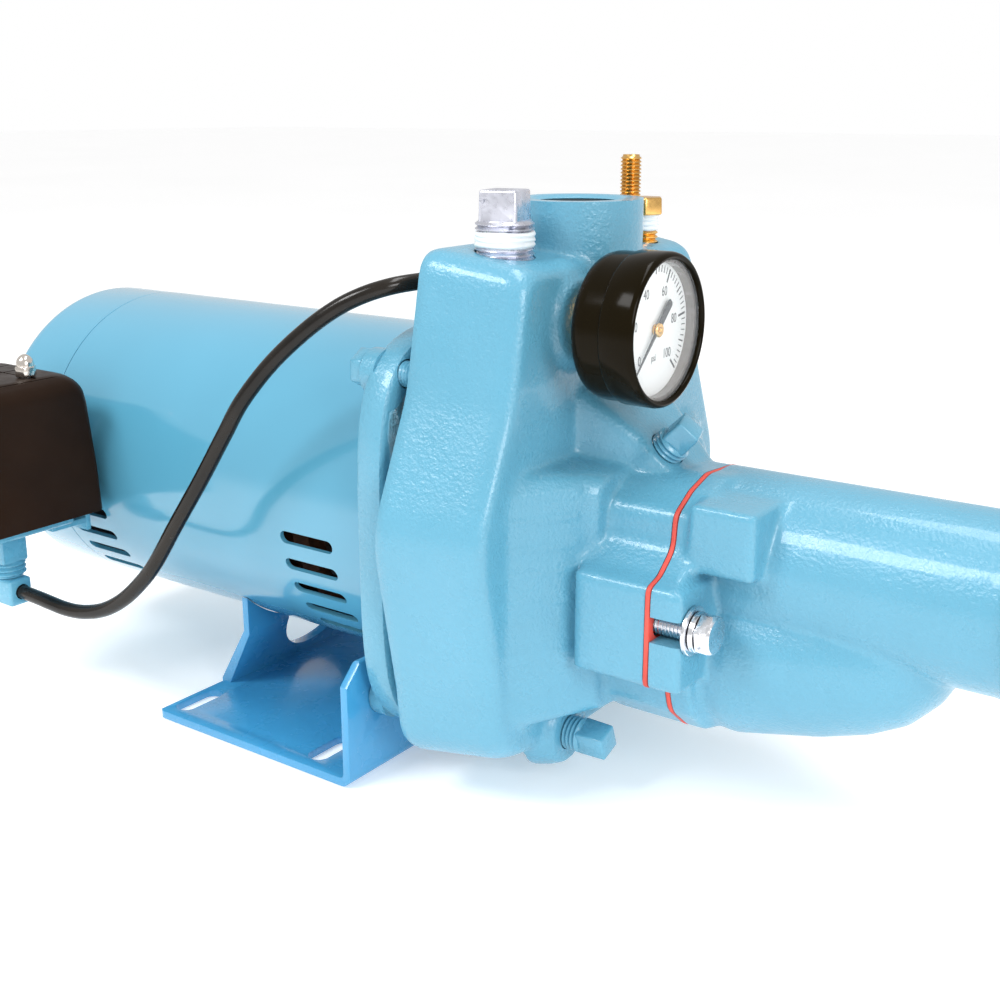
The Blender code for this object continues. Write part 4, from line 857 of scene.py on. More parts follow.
def vent_cutters(radius, width):
    for x in (SHELL_FRONT - 19.8 - 13.5, SHELL_BACK + 5.3 + 13.5):
        for side in (-1, 1):
            for row in range(5):
                angle = math.radians(6.5 + 10 * row)
                outline = rounded(box_corners((-13.5, 13.5), (-width / 2, width / 2), width * 0.499), 8)
                bm = raised([(a, b, radius - 12) for a, b in outline], (0, 0, 16))
                bm.transform(Matrix.Rotation(side * -(math.pi / 2 + angle), 4, "X"))
                bmesh.ops.translate(bm, vec=at_shaft(x), verts=bm.verts)
                yield bm


class JETPUMP_OT_motor(bpy.types.Operator):
    """Rolled motor shell with its cooling slots, and the pressed rear cover"""

    bl_idname = "jet_pump.motor"
    bl_label = "Motor shell"

    def execute(self, context):
        settings = context.scene.jet_pump_motor
        r = settings.shell_radius / MM
        w = 1.9
        back, front = SHELL_BACK, SHELL_FRONT
        shell = to_object("shell_sheet", turned([
            (back, r - w), (front, r - w), (front, r - 0.5), (front - 0.5, r), (back + 0.15, r), (back, r - 0.15),
        ], at_shaft(0), steps=256))
        shaped(shell, "DIFFERENCE", list(vent_cutters(r, settings.vent_width / MM)))
        finished(clean(shell), finish("sheet enamel"), ["motor_shell"], slot="blue_sheet")
        start, end = COVER_BACK, back - 0.55
        # Painted shade: a near-black ring inside the seam between shell and rear cover, seen as a dark line through the
        # gap.
        band = ring(back - 4.5, back + 4, r - 3.4, r - w - 0.02, at_shaft(0), steps=160)
        made("seam_painted_shade", band, finish("painted cavity shade"), slot="blue_sheet")
        outer = [(end, r - 0.3), (end - 0.15, r - 0.1), (start + 9.5, r - 0.1)]
        for k in range(1, 10):
            turn = math.pi / 2 * k / 9
            outer.append((start + 9.5 - 9.5 * math.sin(turn), r - 0.1 - 9.5 * (1 - math.cos(turn))))
        profile = outer + [
            (start, 40), (start + 0.9, 38), (start + 0.9, 0), (start + w + 0.6, 0), (start + w + 0.6, 40),
            (start + w, r - 12), (start + 5, r - 5.5), (start + 10, r - w), (end, r - w),
        ]
        cover = to_object("rear_cover_pressing", turned(profile, at_shaft(0), steps=256))
        shaped(cover, "DIFFERENCE", [rod(start - 2, start + 5, 11.2, at_shaft(0, 0, -38), steps=48)])
        finished(clean(cover), finish("sheet enamel"), ["rear_cover"], slot="blue_sheet")
        return {"FINISHED"}


class JETPUMP_OT_foot(bpy.types.Operator):
    """Stamped foot: slotted base, full-width front upright and leaning rear saddle"""

    bl_idname = "jet_pump.foot"
    bl_label = "Foot"

    def execute(self, context):
        high = corner("foot", 1)
        half, side, plate = high.x, high.y, 3.2
        profile = rounded([
            (-half, 0, 1.6), (-half, plate, 1.4), (half - plate, plate, 2.2), (half - plate, 49.0, 1.2),
            (half, 49.0, 1.2), (half, 0, 4.5),
        ])
        foot = to_object("foot_stamping", raised([(x, -side, z) for x, z in profile], (0, 2 * side, 0)))
        saddle = [
            (-half + 0.05, 0.4), (-half + 0.05, plate + 1), (-half + 15.5, 30), (-half + 15.5, 94), (-half + 18.7, 94),
            (-half + 18.7, 29), (-half + plate * 1.4, plate - 1), (-half + plate * 1.4, 0.4),
        ]
        shaped(foot, "UNION", [raised([(x, -47, z) for x, z in saddle], (0, 94, 0))])
        cutters = [
            rod(-half - 5, 0, 23, (0, 0, 31), steps=96),
            rod(-half - 5, half + 5, 67.9, at_shaft(0), steps=192),
            block((-half - 5, 0), (-side, side), (SHAFT_HEIGHT - 48, SHAFT_HEIGHT + 1)),
        ]
        for sign in (-1, 1):
            outline = [(sign * (side + 1), 40.0), (sign * (side + 1), 50.0), (sign * (side - 9), 50.0)]
            cutters.append(raised([(half - plate - 1, y, z) for y, z in outline], (plate + 2, 0, 0)))
            cutters.append(rod(half - plate - 3, half + 3, 5.2, at_shaft(0, sign * 64, -62.5), steps=32))
            for x in (-half + 7.5, half - 24.2):
                y = sign * (side - 16.5)
                slot = rounded(box_corners((x - 4.5, x + 4.5), (y - 11.5, y + 11.5), 4.49), 8)
                cutters.append(raised([(a, b, -2) for a, b in slot], (0, 0, 9)))
            for x, reach in ((-half, 4), (half, -4)):
                post = block(
                    sorted((x - reach * 0.1, x + reach)), sorted((sign * (side - 4), sign * (side + 1))),
                    (-1, plate + 0.6),
                )
                if x < 0:
                    fillet = rod(-2, plate + 2, 4, (x + reach, sign * (side - 4), 0), UP, 64)
                    cutters.append(hollowed(post, fillet))
                else:
                    post.free()
        shaped(foot, "DIFFERENCE", cutters)
        clean(foot)
        edge = foot.modifiers.new("rolled edges", "BEVEL")
        edge.width = 0.0005
        edge.segments = 2
        edge.limit_method = "ANGLE"
        edge.angle_limit = math.radians(50)
        settle(foot)
        finished(foot, finish("foot painted shade enamel"), ["foot"], slot="blue_sheet")
        return {"FINISHED"}


def hollowed(bm, cutter):
    """The first shape less the second, as a mesh in millimetres."""
    obj = shaped(to_object("hollowed", bm), "DIFFERENCE", [cutter])
    result = bmesh.new()
    result.from_mesh(obj.data)
    bmesh.ops.scale(result, vec=(1000, 1000, 1000), verts=result.verts)
    bpy.data.objects.remove(obj)
    return result


# ---------------------------------------------------------------- gasket, bolts and plugs


class JETPUMP_OT_ejector_joint(bpy.types.Operator):
    """Red gasket, and the two bolts with flat and split washers that clamp the ejector"""

    bl_idname = "jet_pump.ejector_joint"
    bl_label = "Ejector joint"

    def execute(self, context):
        start, end = NECK_FACE + 0.3, NECK_FACE + 1.9
        gasket = to_object("joint_gasket", eased(neck_solid(start, end, 0.6), 0.25, 2))
        shaped(gasket, "DIFFERENCE", [
            rod(start - 2, end + 2, 17, at_shaft(0)), rod(start - 2, end + 2, 11, at_shaft(0, 0, -36)),
            *[rod(start - 2, end + 2, 5.0, at_shaft(0, sign * JOINT_BOLT_Y, JOINT_BOLT_RISE)) for sign in (-1, 1)],
        ])
        finished(clean(gasket), finish("gasket"), ["ejector_gasket"], slot="red_rubber")
        seat = EJECTOR_BACK + EAR_DEPTH
        for side, sign in (("near", -1), ("far", 1)):
            centre = at_shaft(0, sign * JOINT_BOLT_Y, JOINT_BOLT_RISE)
            flat = turned([
                (seat + 0.3, 4.3), (seat + 1.8, 4.3), (seat + 1.8, 8.2), (seat + 1.55, 8.5), (seat + 0.55, 8.5),
                (seat + 0.3, 8.2),
            ], centre, steps=96)
            made(f"flat_washer_{side}_turned", flat, finish("zinc"), [f"flat_washer_{side}"], slot="zinc")
            split = to_object(f"lock_washer_{side}_split", turned([
                (seat + 2.1, 4.3), (seat + 4.0, 4.3), (seat + 4.0, 6.8), (seat + 3.8, 7.0), (seat + 2.3, 7.0),
                (seat + 2.1, 6.8),
            ], centre, steps=96))
            gap = block((seat + 1, seat + 6), (-0.5, 0.5), (3, 10))
            gap.transform(Matrix.Rotation(math.radians(sign * 70), 4, "X"))
            bmesh.ops.translate(gap, vec=centre, verts=gap.verts)
            shaped(split, "DIFFERENCE", [gap])
            finished(clean(split), finish("zinc"), [f"lock_washer_{side}"], slot="zinc")
            head = seat + 4.3
            bolt = to_object(f"ejector_bolt_{side}_hex", turned([
                (NECK_FACE - 15, 0), (head + 1, 0), (head + 1, 3.7),
                *reversed(thread_profile(NECK_FACE - 14, head, 3.2, 3.9, 1.4)), (NECK_FACE - 15, 2.9),
            ], centre, steps=48))
            hexagon = many_sided(head, head + 5.3, HEX, 6, centre, AHEAD, 12, 0.35)
            shaped(bolt, "UNION", [hexagon])
            rim = turned([(head + 3.9, 7.6), (head + 5.6, 5.6), (head + 7, 5.6), (head + 7, 12), (head + 3.9, 12)],
                         centre, steps=96)
            shaped(bolt, "DIFFERENCE", [rim])
            finished(clean(bolt), finish("zinc"), [f"ejector_bolt_{side}"], slot="zinc")
        return {"FINISHED"}


class JETPUMP_OT_casing_bolts(bpy.types.Operator):
    """Painted bolts from the motor flange into the casing's corners"""

    bl_idname = "jet_pump.casing_bolts"
    bl_label = "Casing bolts"

    def execute(self, context):
        names = ("near_top", "near_bottom", "far_top", "far_bottom")
        for name, (y, rise) in zip(names, corner_places()):
            centre = at_shaft(0, y, rise)
            low, high = corners(f"casing_bolt_{name}")
            bolt = to_object(f"casing_bolt_{name}_hex", turned([
                (low.x + 5, 0), (high.x, 0), (high.x, 4.0),
                *reversed(thread_profile(FLANGE_FRONT - 1, high.x - 0.5, 4.0, 4.7, 1.5)),
                (FLANGE_FRONT - 2, 4.7), (low.x + 5, 4.7),
            ], centre, steps=48))
            shaped(bolt, "UNION", [many_sided(low.x, low.x + 5.2, HEX, 6, centre)])
            finished(clean(bolt), finish("brush enamel"), [f"casing_bolt_{name}"], slot="blue_cast")
        return {"FINISHED"}


def pipe_plug(name, node, material, centre, direction, thread, flats, heights, turn, slot, sides=4, tape=None):
    """A taper-thread plug with a square or six-sided head, and tape round the thread next to its seat."""
    bottom, head_base, top = heights
    pitch = bpy.context.scene.jet_pump_trim.thread_pitch / MM
    profile = [
        (bottom, 0), (head_base, 0), (head_base, thread - 1.1),
        *reversed(thread_profile(bottom + 1, head_base - 0.2, thread - 1.0, thread, pitch)), (bottom, thread - 1.6),
    ]
    plug = to_object(name, turned(profile, centre, direction, 72))
    half = flats / 2
    head = bmesh.new()
    bmesh.ops.create_cone(
        head, cap_ends=True, segments=sides, radius1=half / math.cos(math.pi / sides),
        radius2=half * 0.96 / math.cos(math.pi / sides), depth=top - head_base + 1,
    )
    head.transform(Matrix.Rotation(math.radians(turn) + math.pi / sides, 4, "Z"))
    bmesh.ops.translate(head, vec=(0, 0, (top + head_base - 1) / 2), verts=head.verts)
    eased(head, 0.9 if sides == 4 else 0.7, 3)
    shaped(plug, "UNION", [aim(head, centre, direction, UP)])
    finished(clean(plug), material, [node], slot=slot)
    if tape and bpy.context.scene.jet_pump_trim.tape:
        low, high = tape
        wraps = thread_profile(low, high, thread - 0.15, thread + 0.3, 1.75)
        wrap = turned([(low, thread - 1.3), (high, thread - 1.3), *reversed(wraps)], (0, 0, 0), UP, 96)
        for vert in wrap.verts:
            around = math.atan2(vert.co.y, vert.co.x)
            vert.co.z += 0.16 * math.sin(3 * around + vert.co.z)
        bmesh.ops.translate(wrap, vec=centre, verts=wrap.verts)
        made(f"{name}_tape", wrap, finish("thread tape"), slot="white_enamel", crease=60)
    return plug


class JETPUMP_OT_plugs(bpy.types.Operator):
    """Priming plug, brass plug, regulator stud, drain plug and upper plug"""

    bl_idname = "jet_pump.plugs"
    bl_label = "Plugs and stud"

    def execute(self, context):
        top, front = CASING_TOP, CASING_FRONT
        pipe_plug(
            "priming_plug_square", "priming_plug", finish("galvanised"), PRIMING_PLACE, UP, 10.2,
            14.0, (-14, 9.0, 19.2), 12, "zinc", tape=(0.1, 5.4),
        )
        pipe_plug(
            "brass_plug_hex", "brass_plug", finish("brass"), BRASS_PLUG_PLACE, UP, 5.1,
            HEX, (-9, 7.3, 12.8), 0, "brass", 6, tape=(0.4, 6.9),
        )
        pipe_plug(
            "drain_plug_square", "drain_plug", finish("brush enamel"), at_shaft(front + 3.5, DRAIN_Y, DRAIN_RISE),
            AHEAD, 6.6, 10.0, (-9, 7.0, 17.4), 20, "blue_cast",
        )
        pipe_plug(
            "upper_plug_square", "upper_plug", finish("brush enamel"), TAPPING_PLACE, TAPPING_AXIS,
            6.6, 9.6, (-8, 5.5, 14.0), 20, "blue_cast",
        )
        stud = turned([
            (-14, 0), (27.9, 0), (27.9, 3.2),
            *reversed(thread_profile(0.6, 27.2, 3.35, 4.1, 1.41)), (0, 3.9), (-14, 3.9),
        ], (DISCHARGE_X - 8, 51.7, top), UP, 64)
        made("regulator_stud_threaded", stud, finish("brass"), ["regulator_stud"], slot="brass")
        return {"FINISHED"}


# ---------------------------------------------------------------- gauge


def gauge_place(x):
    return (x, GAUGE_Y, GAUGE_Z)


def dial_point(angle, radius, x):
    """A place on the dial: the angle is degrees clockwise from the top for someone reading it."""
    turn = math.radians(angle)
    return (x, GAUGE_Y + radius * math.sin(turn), GAUGE_Z + radius * math.cos(turn))


def dial_mark(angle, inner, outer, width, x):
    turn = math.radians(angle)
    across = Vector((0, math.cos(turn), -math.sin(turn))) * width / 2
    near, far = Vector(dial_point(angle, inner, x)), Vector(dial_point(angle, outer, x))
    return raised([near - across, near + across, far + across, far - across], (0.08, 0, 0))


def number_mesh(text, size, angle, radius, x):
    """A number on the dial, upright for someone reading it."""
    curve = bpy.data.curves.new("number", "FONT")
    curve.body = text
    curve.size = size
    curve.align_x = "CENTER"
    curve.align_y = "CENTER"
    curve.extrude = 0.03
    holder = bpy.data.objects.new("number", curve)
    bpy.context.scene.collection.objects.link(holder)
    graph = bpy.context.evaluated_depsgraph_get()
    graph.update()
    mesh = bpy.data.meshes.new_from_object(holder.evaluated_get(graph))
    bm = bmesh.new()
    bm.from_mesh(mesh)
    bpy.data.objects.remove(holder)
    bpy.data.meshes.remove(mesh)
    bmesh.ops.remove_doubles(bm, verts=bm.verts, dist=1e-4)
    bm.transform(Matrix.Scale(0.8, 4, (1, 0, 0)))
    bm.transform(Matrix(((0, 0, 1, 0), (1, 0, 0, 0), (0, 1, 0, 0), (0, 0, 0, 1))))
    bmesh.ops.translate(bm, vec=dial_point(angle, radius, x + 0.04), verts=bm.verts)
    return bm


class JETPUMP_OT_gauge(bpy.types.Operator):
    """Pressure gauge: enamelled case and bezel, window, printed dial, brass stem and pointer"""

    bl_idname = "jet_pump.gauge"
    bl_label = "Pressure gauge"

    def execute(self, context):
        back, front = GAUGE_BACK, GAUGE_FRONT
        r = GAUGE_RADIUS
        case_r = r - 0.7
        black = finish("gauge enamel")
        case = to_object("gauge_case_pressing", turned([
            (back - 1.0, 0), (back - 1.0, case_r - 3.6), (back - 0.7, case_r - 2.2), (back + 0.1, case_r - 1.2),
            (back + 1.3, case_r - 0.5), (back + 3.0, case_r - 0.1), (back + 4.5, case_r), (front - 3.2, case_r),
            (front - 3.2, case_r - 1.2), (back + 5, case_r - 1.4), (back + 2.4, case_r - 3.5), (back + 1.0, 0),
        ], gauge_place(0), steps=160))
        shaped(case, "DIFFERENCE", [rod(back - 3, back + 4, 4.3, gauge_place(0))])
        finished(clean(case), black, ["gauge_case"], slot="black_enamel")
        lip = [
            (front - 12.5, case_r + 0.05), (front - 12.5, r - 0.45), (front - 12.2, r - 0.15), (front - 11.8, r),
            (front - 2.2, r), (front - 1.1, r - 0.25), (front - 0.35, r - 0.7), (front, r - 1.3), (front, r - 1.7),
            (front - 0.25, r - 2.2), (front - 0.8, r - 2.6), (front - 1.4, r - 2.7), (front - 1.4, r - 1.9),
            (front - 2.7, r - 1.9), (front - 2.7, case_r + 0.05),
        ]
        made("gauge_bezel_rolled", turned(lip, gauge_place(0), steps=160), black, ["gauge_bezel"], slot="black_enamel")
        made("gauge_window", rod(front - 2.5, front - 1.8, r - 2.3, gauge_place(0), steps=128), lens_glass(),
             ["gauge_lens"], slot="clear_lens")
        face = front - 6.0
        plate = ring(face - 0.8, face, 1.6, case_r - 1.6, gauge_place(0), steps=128)
        made("gauge_dial_plate", plate, finish("dial white"), ["gauge_dial"], slot="white_enamel")
        wall = ring(face + 0.05, front - 2.9, case_r - 2.9, case_r - 1.4, gauge_place(0), steps=128)
        made("gauge_inner_ring", wall, finish("inner ring"), slot="dark_steel")
        self.print_dial(context, face)
        self.add_pointer(face, front)
        stem = to_object("gauge_stem_brass", rod(CASING_FRONT - 2, back - 4.5, 6.5, gauge_place(0)))
        shaped(stem, "UNION", [
            many_sided(CASING_FRONT + 5.2, back - 1.3, 14.2, 4, gauge_place(0), AHEAD, 45, 0.6),
            rod(back - 2, back + 4, 4.0, gauge_place(0)),
        ])
        finished(clean(stem), finish("brass"), ["gauge_stem"], slot="brass")
        return {"FINISHED"}

    def print_dial(self, context, face):
        steps = context.scene.jet_pump_trim.dial_steps
        marks = []
        for k in range(5 * steps + 1):
            angle = -135 + 270 * k / (5 * steps)
            if k % steps == 0:
                marks.append(dial_mark(angle, 16.6, 21.2, 0.75, face))
            elif k % (steps // 2) == 0:
                marks.append(dial_mark(angle, 18.2, 21.2, 0.5, face))
            else:
                marks.append(dial_mark(angle, 18.9, 21.2, 0.34, face))
        made("gauge_scale", merged(*marks), finish("dial ink"), slot="black_plastic")
        numbers = [
            number_mesh(str(value), 4.6, -135 + 2.7 * value, 13.4 if value < 100 else 12.9, face)
            for value in (0, 20, 40, 60, 80, 100)
        ]
        numbers.append(number_mesh("psi", 3.4, 180, 9.6, face))
        made("gauge_numbers", merged(*numbers), finish("dial ink"), slot="black_plastic")

    def add_pointer(self, face, front):
        blade = [
            (-0.28, 18.6), (0.28, 18.6), (0.75, 2.2), (1.3, -1.5), (1.55, -11.4), (0.9, -12.3), (-0.9, -12.3),
            (-1.55, -11.4), (-1.3, -1.5), (-0.75, 2.2),
        ]
        bm = raised([(face + 1.1, a, b) for a, b in blade], (0.45, 0, 0))
        bm.transform(Matrix.Rotation(math.radians(135), 4, "X"))
        bmesh.ops.translate(bm, vec=gauge_place(0), verts=bm.verts)
        pointer = to_object("gauge_pointer_blade", eased(bm, 0.1, 1))
        shaped(pointer, "DIFFERENCE", [rod(face - 4, front, 1.15, gauge_place(0))])
        finished(clean(pointer), finish("dial ink"), ["gauge_pointer"], body="pointer", slot="black_enamel")
        hub = turned([
            (face - 2.8, 0), (face + 3.0, 0), (face + 3.0, 0.7), (face + 2.7, 1.0), (face + 2.4, 1.1),
            (face + 2.4, 2.1), (face + 2.1, 2.4), (face + 1.7, 2.4), (face + 1.6, 1.1), (face + 0.9, 1.1),
            (face + 0.9, 1.9), (face + 0.4, 1.9), (face + 0.4, 1.1), (face - 2.8, 1.1),
        ], gauge_place(0), steps=48)
        made("gauge_pointer_hub", hub, finish("brass"), body="pointer", slot="brass")


# ---------------------------------------------------------------- pressure switch


def switch_outline(margin, radius, z):
    a = (COVER_LOW.x + margin, COVER_HIGH.x - margin)
    b = (COVER_LOW.y + margin, COVER_HIGH.y - margin)
    return [(x, y, z) for x, y in rounded(box_corners(a, b, radius), 8)]


class JETPUMP_OT_switch(bpy.types.Operator):
    """Pressure switch: grooved cover, acorn nut, block, elbow and bracket"""

    bl_idname = "jet_pump.switch"
    bl_label = "Pressure switch"

    def execute(self, context):
        base, top = COVER_LOW.z, COVER_HIGH.z
        levels = [(base, 0.3, 2.4), (base + 0.7, 0, 2.6), (base + 20, 0.4, 3), (top - 12, 1.4, 4.5)]
        for k in range(9):
            turn = math.pi / 2 * k / 8
            levels.append((top - 9.5 + 9.5 * math.sin(turn), 1.6 + 8.2 * (1 - math.cos(turn)), 5 + 3.0 * k / 8))
        cover = to_object("switch_cover_moulding", bridged([
            switch_outline(margin, radius, z) for z, margin, radius in levels
        ]))
        nut_x = (corner("cover_nut", 0).x + corner("cover_nut", 1).x) / 2
        nut_y = (corner("cover_nut", 0).y + corner("cover_nut", 1).y) / 2
        cutters = [bridged([
            switch_outline(2, 4, base - 2), switch_outline(3.4, 4, top - 11), switch_outline(5.8, 4, top - 5),
            switch_outline(9.0, 4, top - 2),
        ])]
        for x in (-23, -11, 1, 24.5):
            across = (SWITCH_X + x - 0.45, SWITCH_X + x + 0.45)
            cutters.append(block(across, (COVER_LOW.y - 2, COVER_HIGH.y + 2), (top - 0.7, top + 2)))
            for sign in (-1, 1):
                edge_y = SWITCH_Y + sign * (COVER_HIGH.y - COVER_LOW.y) / 2
                slot = block(across, (-0.8, 0.8), (-7, 7))
                slot.transform(Matrix.Rotation(math.radians(sign * -45), 4, "X"))
                bmesh.ops.translate(slot, vec=(0, edge_y - sign * 4.15, top - 3.3), verts=slot.verts)
                cutters.append(slot)
        cutters.append(block((COVER_LOW.x + 3, nut_x + 6.4), (nut_y - 0.45, nut_y + 0.45), (top - 0.6, top + 2)))
        cutters.append(rod(top - 9, top + 3, 2.9, (nut_x, nut_y, 0), UP, 32))
        shaped(cover, "DIFFERENCE", cutters)
        finished(clean(cover), finish("switch cover"), ["switch_cover"], slot="brown_plastic", crease=40)
        nut = to_object("cover_nut_acorn", many_sided(top + 0.3, top + 4.6, 7.6, 6, (nut_x, nut_y, 0), UP, 15))
        shaped(nut, "UNION", [turned([
            (top + 3, 0), (top + 3, 3.6), (top + 5.6, 3.55), (top + 7.3, 3.1), (top + 8.5, 2.1), (top + 9.2, 1.0),
            (top + 9.4, 0),
        ], (nut_x, nut_y, 0), UP, 64)])
        shaped(nut, "DIFFERENCE", [rod(top - 1, top + 7, 2.6, (nut_x, nut_y, 0), UP)])
        finished(clean(nut), finish("acorn nickel"), ["cover_nut"], slot="zinc")
        self.add_block()
        self.add_bracket()
        return {"FINISHED"}

    def add_block(self):
        enamel = finish("brush enamel")
        low, high = corners("switch_nipple")
        x, y = (low.x + high.x) / 2, (low.y + high.y) / 2
        half = 6.3
        elbow_top = corner("tube_elbow", 1).z
        nipple = to_object("switch_nipple_block", eased(
            block((x - half, x + half), (y - half, y + half), (elbow_top + 6.8, high.z)), 1.0, 3
        ))
        thread = turned([
            (low.z, 0), (elbow_top + 8, 0), (elbow_top + 8, 5.9),
            *reversed(thread_profile(low.z + 0.6, elbow_top + 7, 6.3, 7.4, 1.9)), (low.z, 6.2),
        ], (x, y, 0), UP, 64)
        shaped(nipple, "UNION", [thread])
        finished(clean(nipple), enamel, ["switch_nipple"], slot="blue_sheet")
        low, high = corners("tube_elbow")
        elbow = to_object("tube_elbow_block", eased(block(
            (low.x, high.x), (low.y, high.y), (low.z, high.z)
        ), 1.2, 3))
        tube_z = low.z + 5.6
        shaped(elbow, "DIFFERENCE", [rod(high.x - 9, high.x + 2, 3.35, (0, -99.0, tube_z))])
        finished(clean(elbow), enamel, ["tube_elbow"], slot="blue_sheet")
        low, high = corners("diaphragm_housing")
        housing = eased(block((low.x, high.x), (low.y, high.y), (low.z, high.z)), 1.4, 3)
        made("diaphragm_flange", housing, enamel, ["diaphragm_housing"], slot="blue_sheet")

    def add_bracket(self):
        low, high = corners("switch_bracket")
        under = corner("diaphragm_housing", 0).z - 0.3
        bracket = to_object("switch_bracket_bent", eased(
            block((low.x, high.x), (high.y - 2.5, high.y), (under - 6, high.z)), 0.5, 2
        ))
        shaped(bracket, "UNION", [eased(block((low.x, high.x), (low.y, high.y - 2), (under - 2.5, under)), 0.5, 2)])
        shaped(bracket, "DIFFERENCE", [
            rod(high.y - 6, high.y + 2, 2.6, (x, 0, SHAFT_HEIGHT + 8), ACROSS)
            for x in (SWITCH_X - 8, SWITCH_X + 8)
        ])
        finished(clean(bracket), finish("brush enamel"), ["switch_bracket"], slot="blue_sheet")


TUBE_ROUTE = (
    (-120.0, -99.0, 46.7), (-106.0, -99.0, 46.2), (-98.0, -99.0, 45.7), (-87.5, -98.7, 45.2),
    (-77.1, -98.0, 46.1), (-65.5, -97.1, 49.5), (-54.6, -96.0, 55.7), (-44.4, -95.0, 64.4),
    (-35.3, -94.0, 74.5), (-23.9, -92.0, 91.8), (-10.0, -90.0, 111.9), (2.0, -88.0, 130.6),
    (10.0, -86.0, 143.6), (21.1, -82.0, 157.6), (33.1, -77.0, 169.5), (43.5, -72.0, 177.9),
    (52.2, -67.0, 183.0), (60.3, -60.0, 186.2), (65.2, -48.0, 187.2), (66.9, -38.0, 187.2),
    (67.3, -29.6, 187.2),
)


def smooth_route(points, per_span=6):
    """A Catmull-Rom curve through the route's own points."""
    knots = [Vector(p) for p in points]
    knots = [2 * knots[0] - knots[1]] + knots + [2 * knots[-1] - knots[-2]]
    path = []
    for i in range(1, len(knots) - 2):
        a, b, c, d = knots[i - 1:i + 3]
        for k in range(per_span):
            t = k / per_span
            path.append(0.5 * (
                2 * b + (c - a) * t + (2 * a - 5 * b + 4 * c - d) * t ** 2 + (3 * b - a - 3 * c + d) * t ** 3
            ))
    path.append(knots[-2])
    return path


class JETPUMP_OT_tube(bpy.types.Operator):
    """Sensing tube from the switch to the back of the casing, with its end fitting"""

    bl_idname = "jet_pump.tube"
    bl_label = "Sensing tube"

    def execute(self, context):
        path = smooth_route(TUBE_ROUTE)
        curve = bpy.data.curves.new("sensing_tube_route", "CURVE")
        curve.dimensions = "3D"
        curve.bevel_depth = 3.0 * MM
        curve.bevel_resolution = 8
        curve.use_fill_caps = True
        spline = curve.splines.new("POLY")
        spline.points.add(len(path) - 1)
        for point, place in zip(spline.points, path):
            point.co = (*(place * MM), 1.0)
        holder = bpy.data.objects.new("sensing_tube_holder", curve)
        context.scene.collection.objects.link(holder)
        graph = context.evaluated_depsgraph_get()
        graph.update()
        mesh = bpy.data.meshes.new_from_object(holder.evaluated_get(graph))
        bpy.data.objects.remove(holder)
        tube = bpy.data.objects.new("sensing_tube_flexible", mesh)
        context.scene.collection.objects.link(tube)
        finished(clean(tube), finish("tube"), ["sensing_tube"], slot="black_tube")
        line = [place * MM for place in path]
        length = sum((b - a).length for a, b in zip(line, line[1:]))
        tuple(line[0])
        [tuple(place) for place in line]
        print(f"sensing tube {length * 1000:.0f} mm")
        low, high = corners("tube_fitting")
        z = (low.z + high.z) / 2
        x = low.x + 7
        fitting = to_object("tube_fitting_block", eased(block((x - 7, x + 6), (-29, -15), (z - 7, z + 7)), 1.2, 3))
        shaped(fitting, "UNION", [rod(x + 4, high.x, 3.7, (0, -22, z))])
        shaped(fitting, "DIFFERENCE", [rod(-33, -24, 3.4, (x, 0, z), ACROSS)])
        finished(clean(fitting), finish("brush enamel"), ["tube_fitting"], slot="blue_sheet")
        return {"FINISHED"}


CARRIED_OVER = {
    "dark steel": ("stator_core", "rear_bracket", "rotor_core", "seal_plate"),
    "bright steel": ("front_bearing", "rear_bearing", "shaft", "governor", "switch_base", "range_spring",
                     "switch_lever", "range_stud"),
    "winding": ("winding_front", "winding_rear"),
    "black moulding": ("capacitor", "cooling_fan", "seal_head", "impeller", "diffuser", "venturi", "contact_block"),
    "ceramic": ("seal_seat",),
    "brass": ("nozzle",),
}


class JETPUMP_OT_inside(bpy.types.Operator):
    """Finishes for the pieces inside the motor, casing, ejector and switch"""

    bl_idname = "jet_pump.inside"
    bl_label = "Inside pieces"

    def execute(self, context):
        for name, nodes in CARRIED_OVER.items():
            for node in nodes:
                data = frame["nodes"][node].data
                data.materials.clear()
                data.materials.append(finish(name))
        return {"FINISHED"}


# ---------------------------------------------------------------- stage


def soft_light(name, place, target, size, power, colour=(1, 1, 1)):
    light = bpy.data.lights.new(name, "AREA")
    light.shape = "RECTANGLE"
    light.size, light.size_y = size
    light.energy = power
    light.color = colour
    holder = bpy.data.objects.new(name, light)
    holder.location = place
    holder.rotation_euler = (Vector(target) - Vector(place)).to_track_quat("-Z", "Y").to_euler()
    bpy.context.scene.collection.objects.link(holder)
    return holder


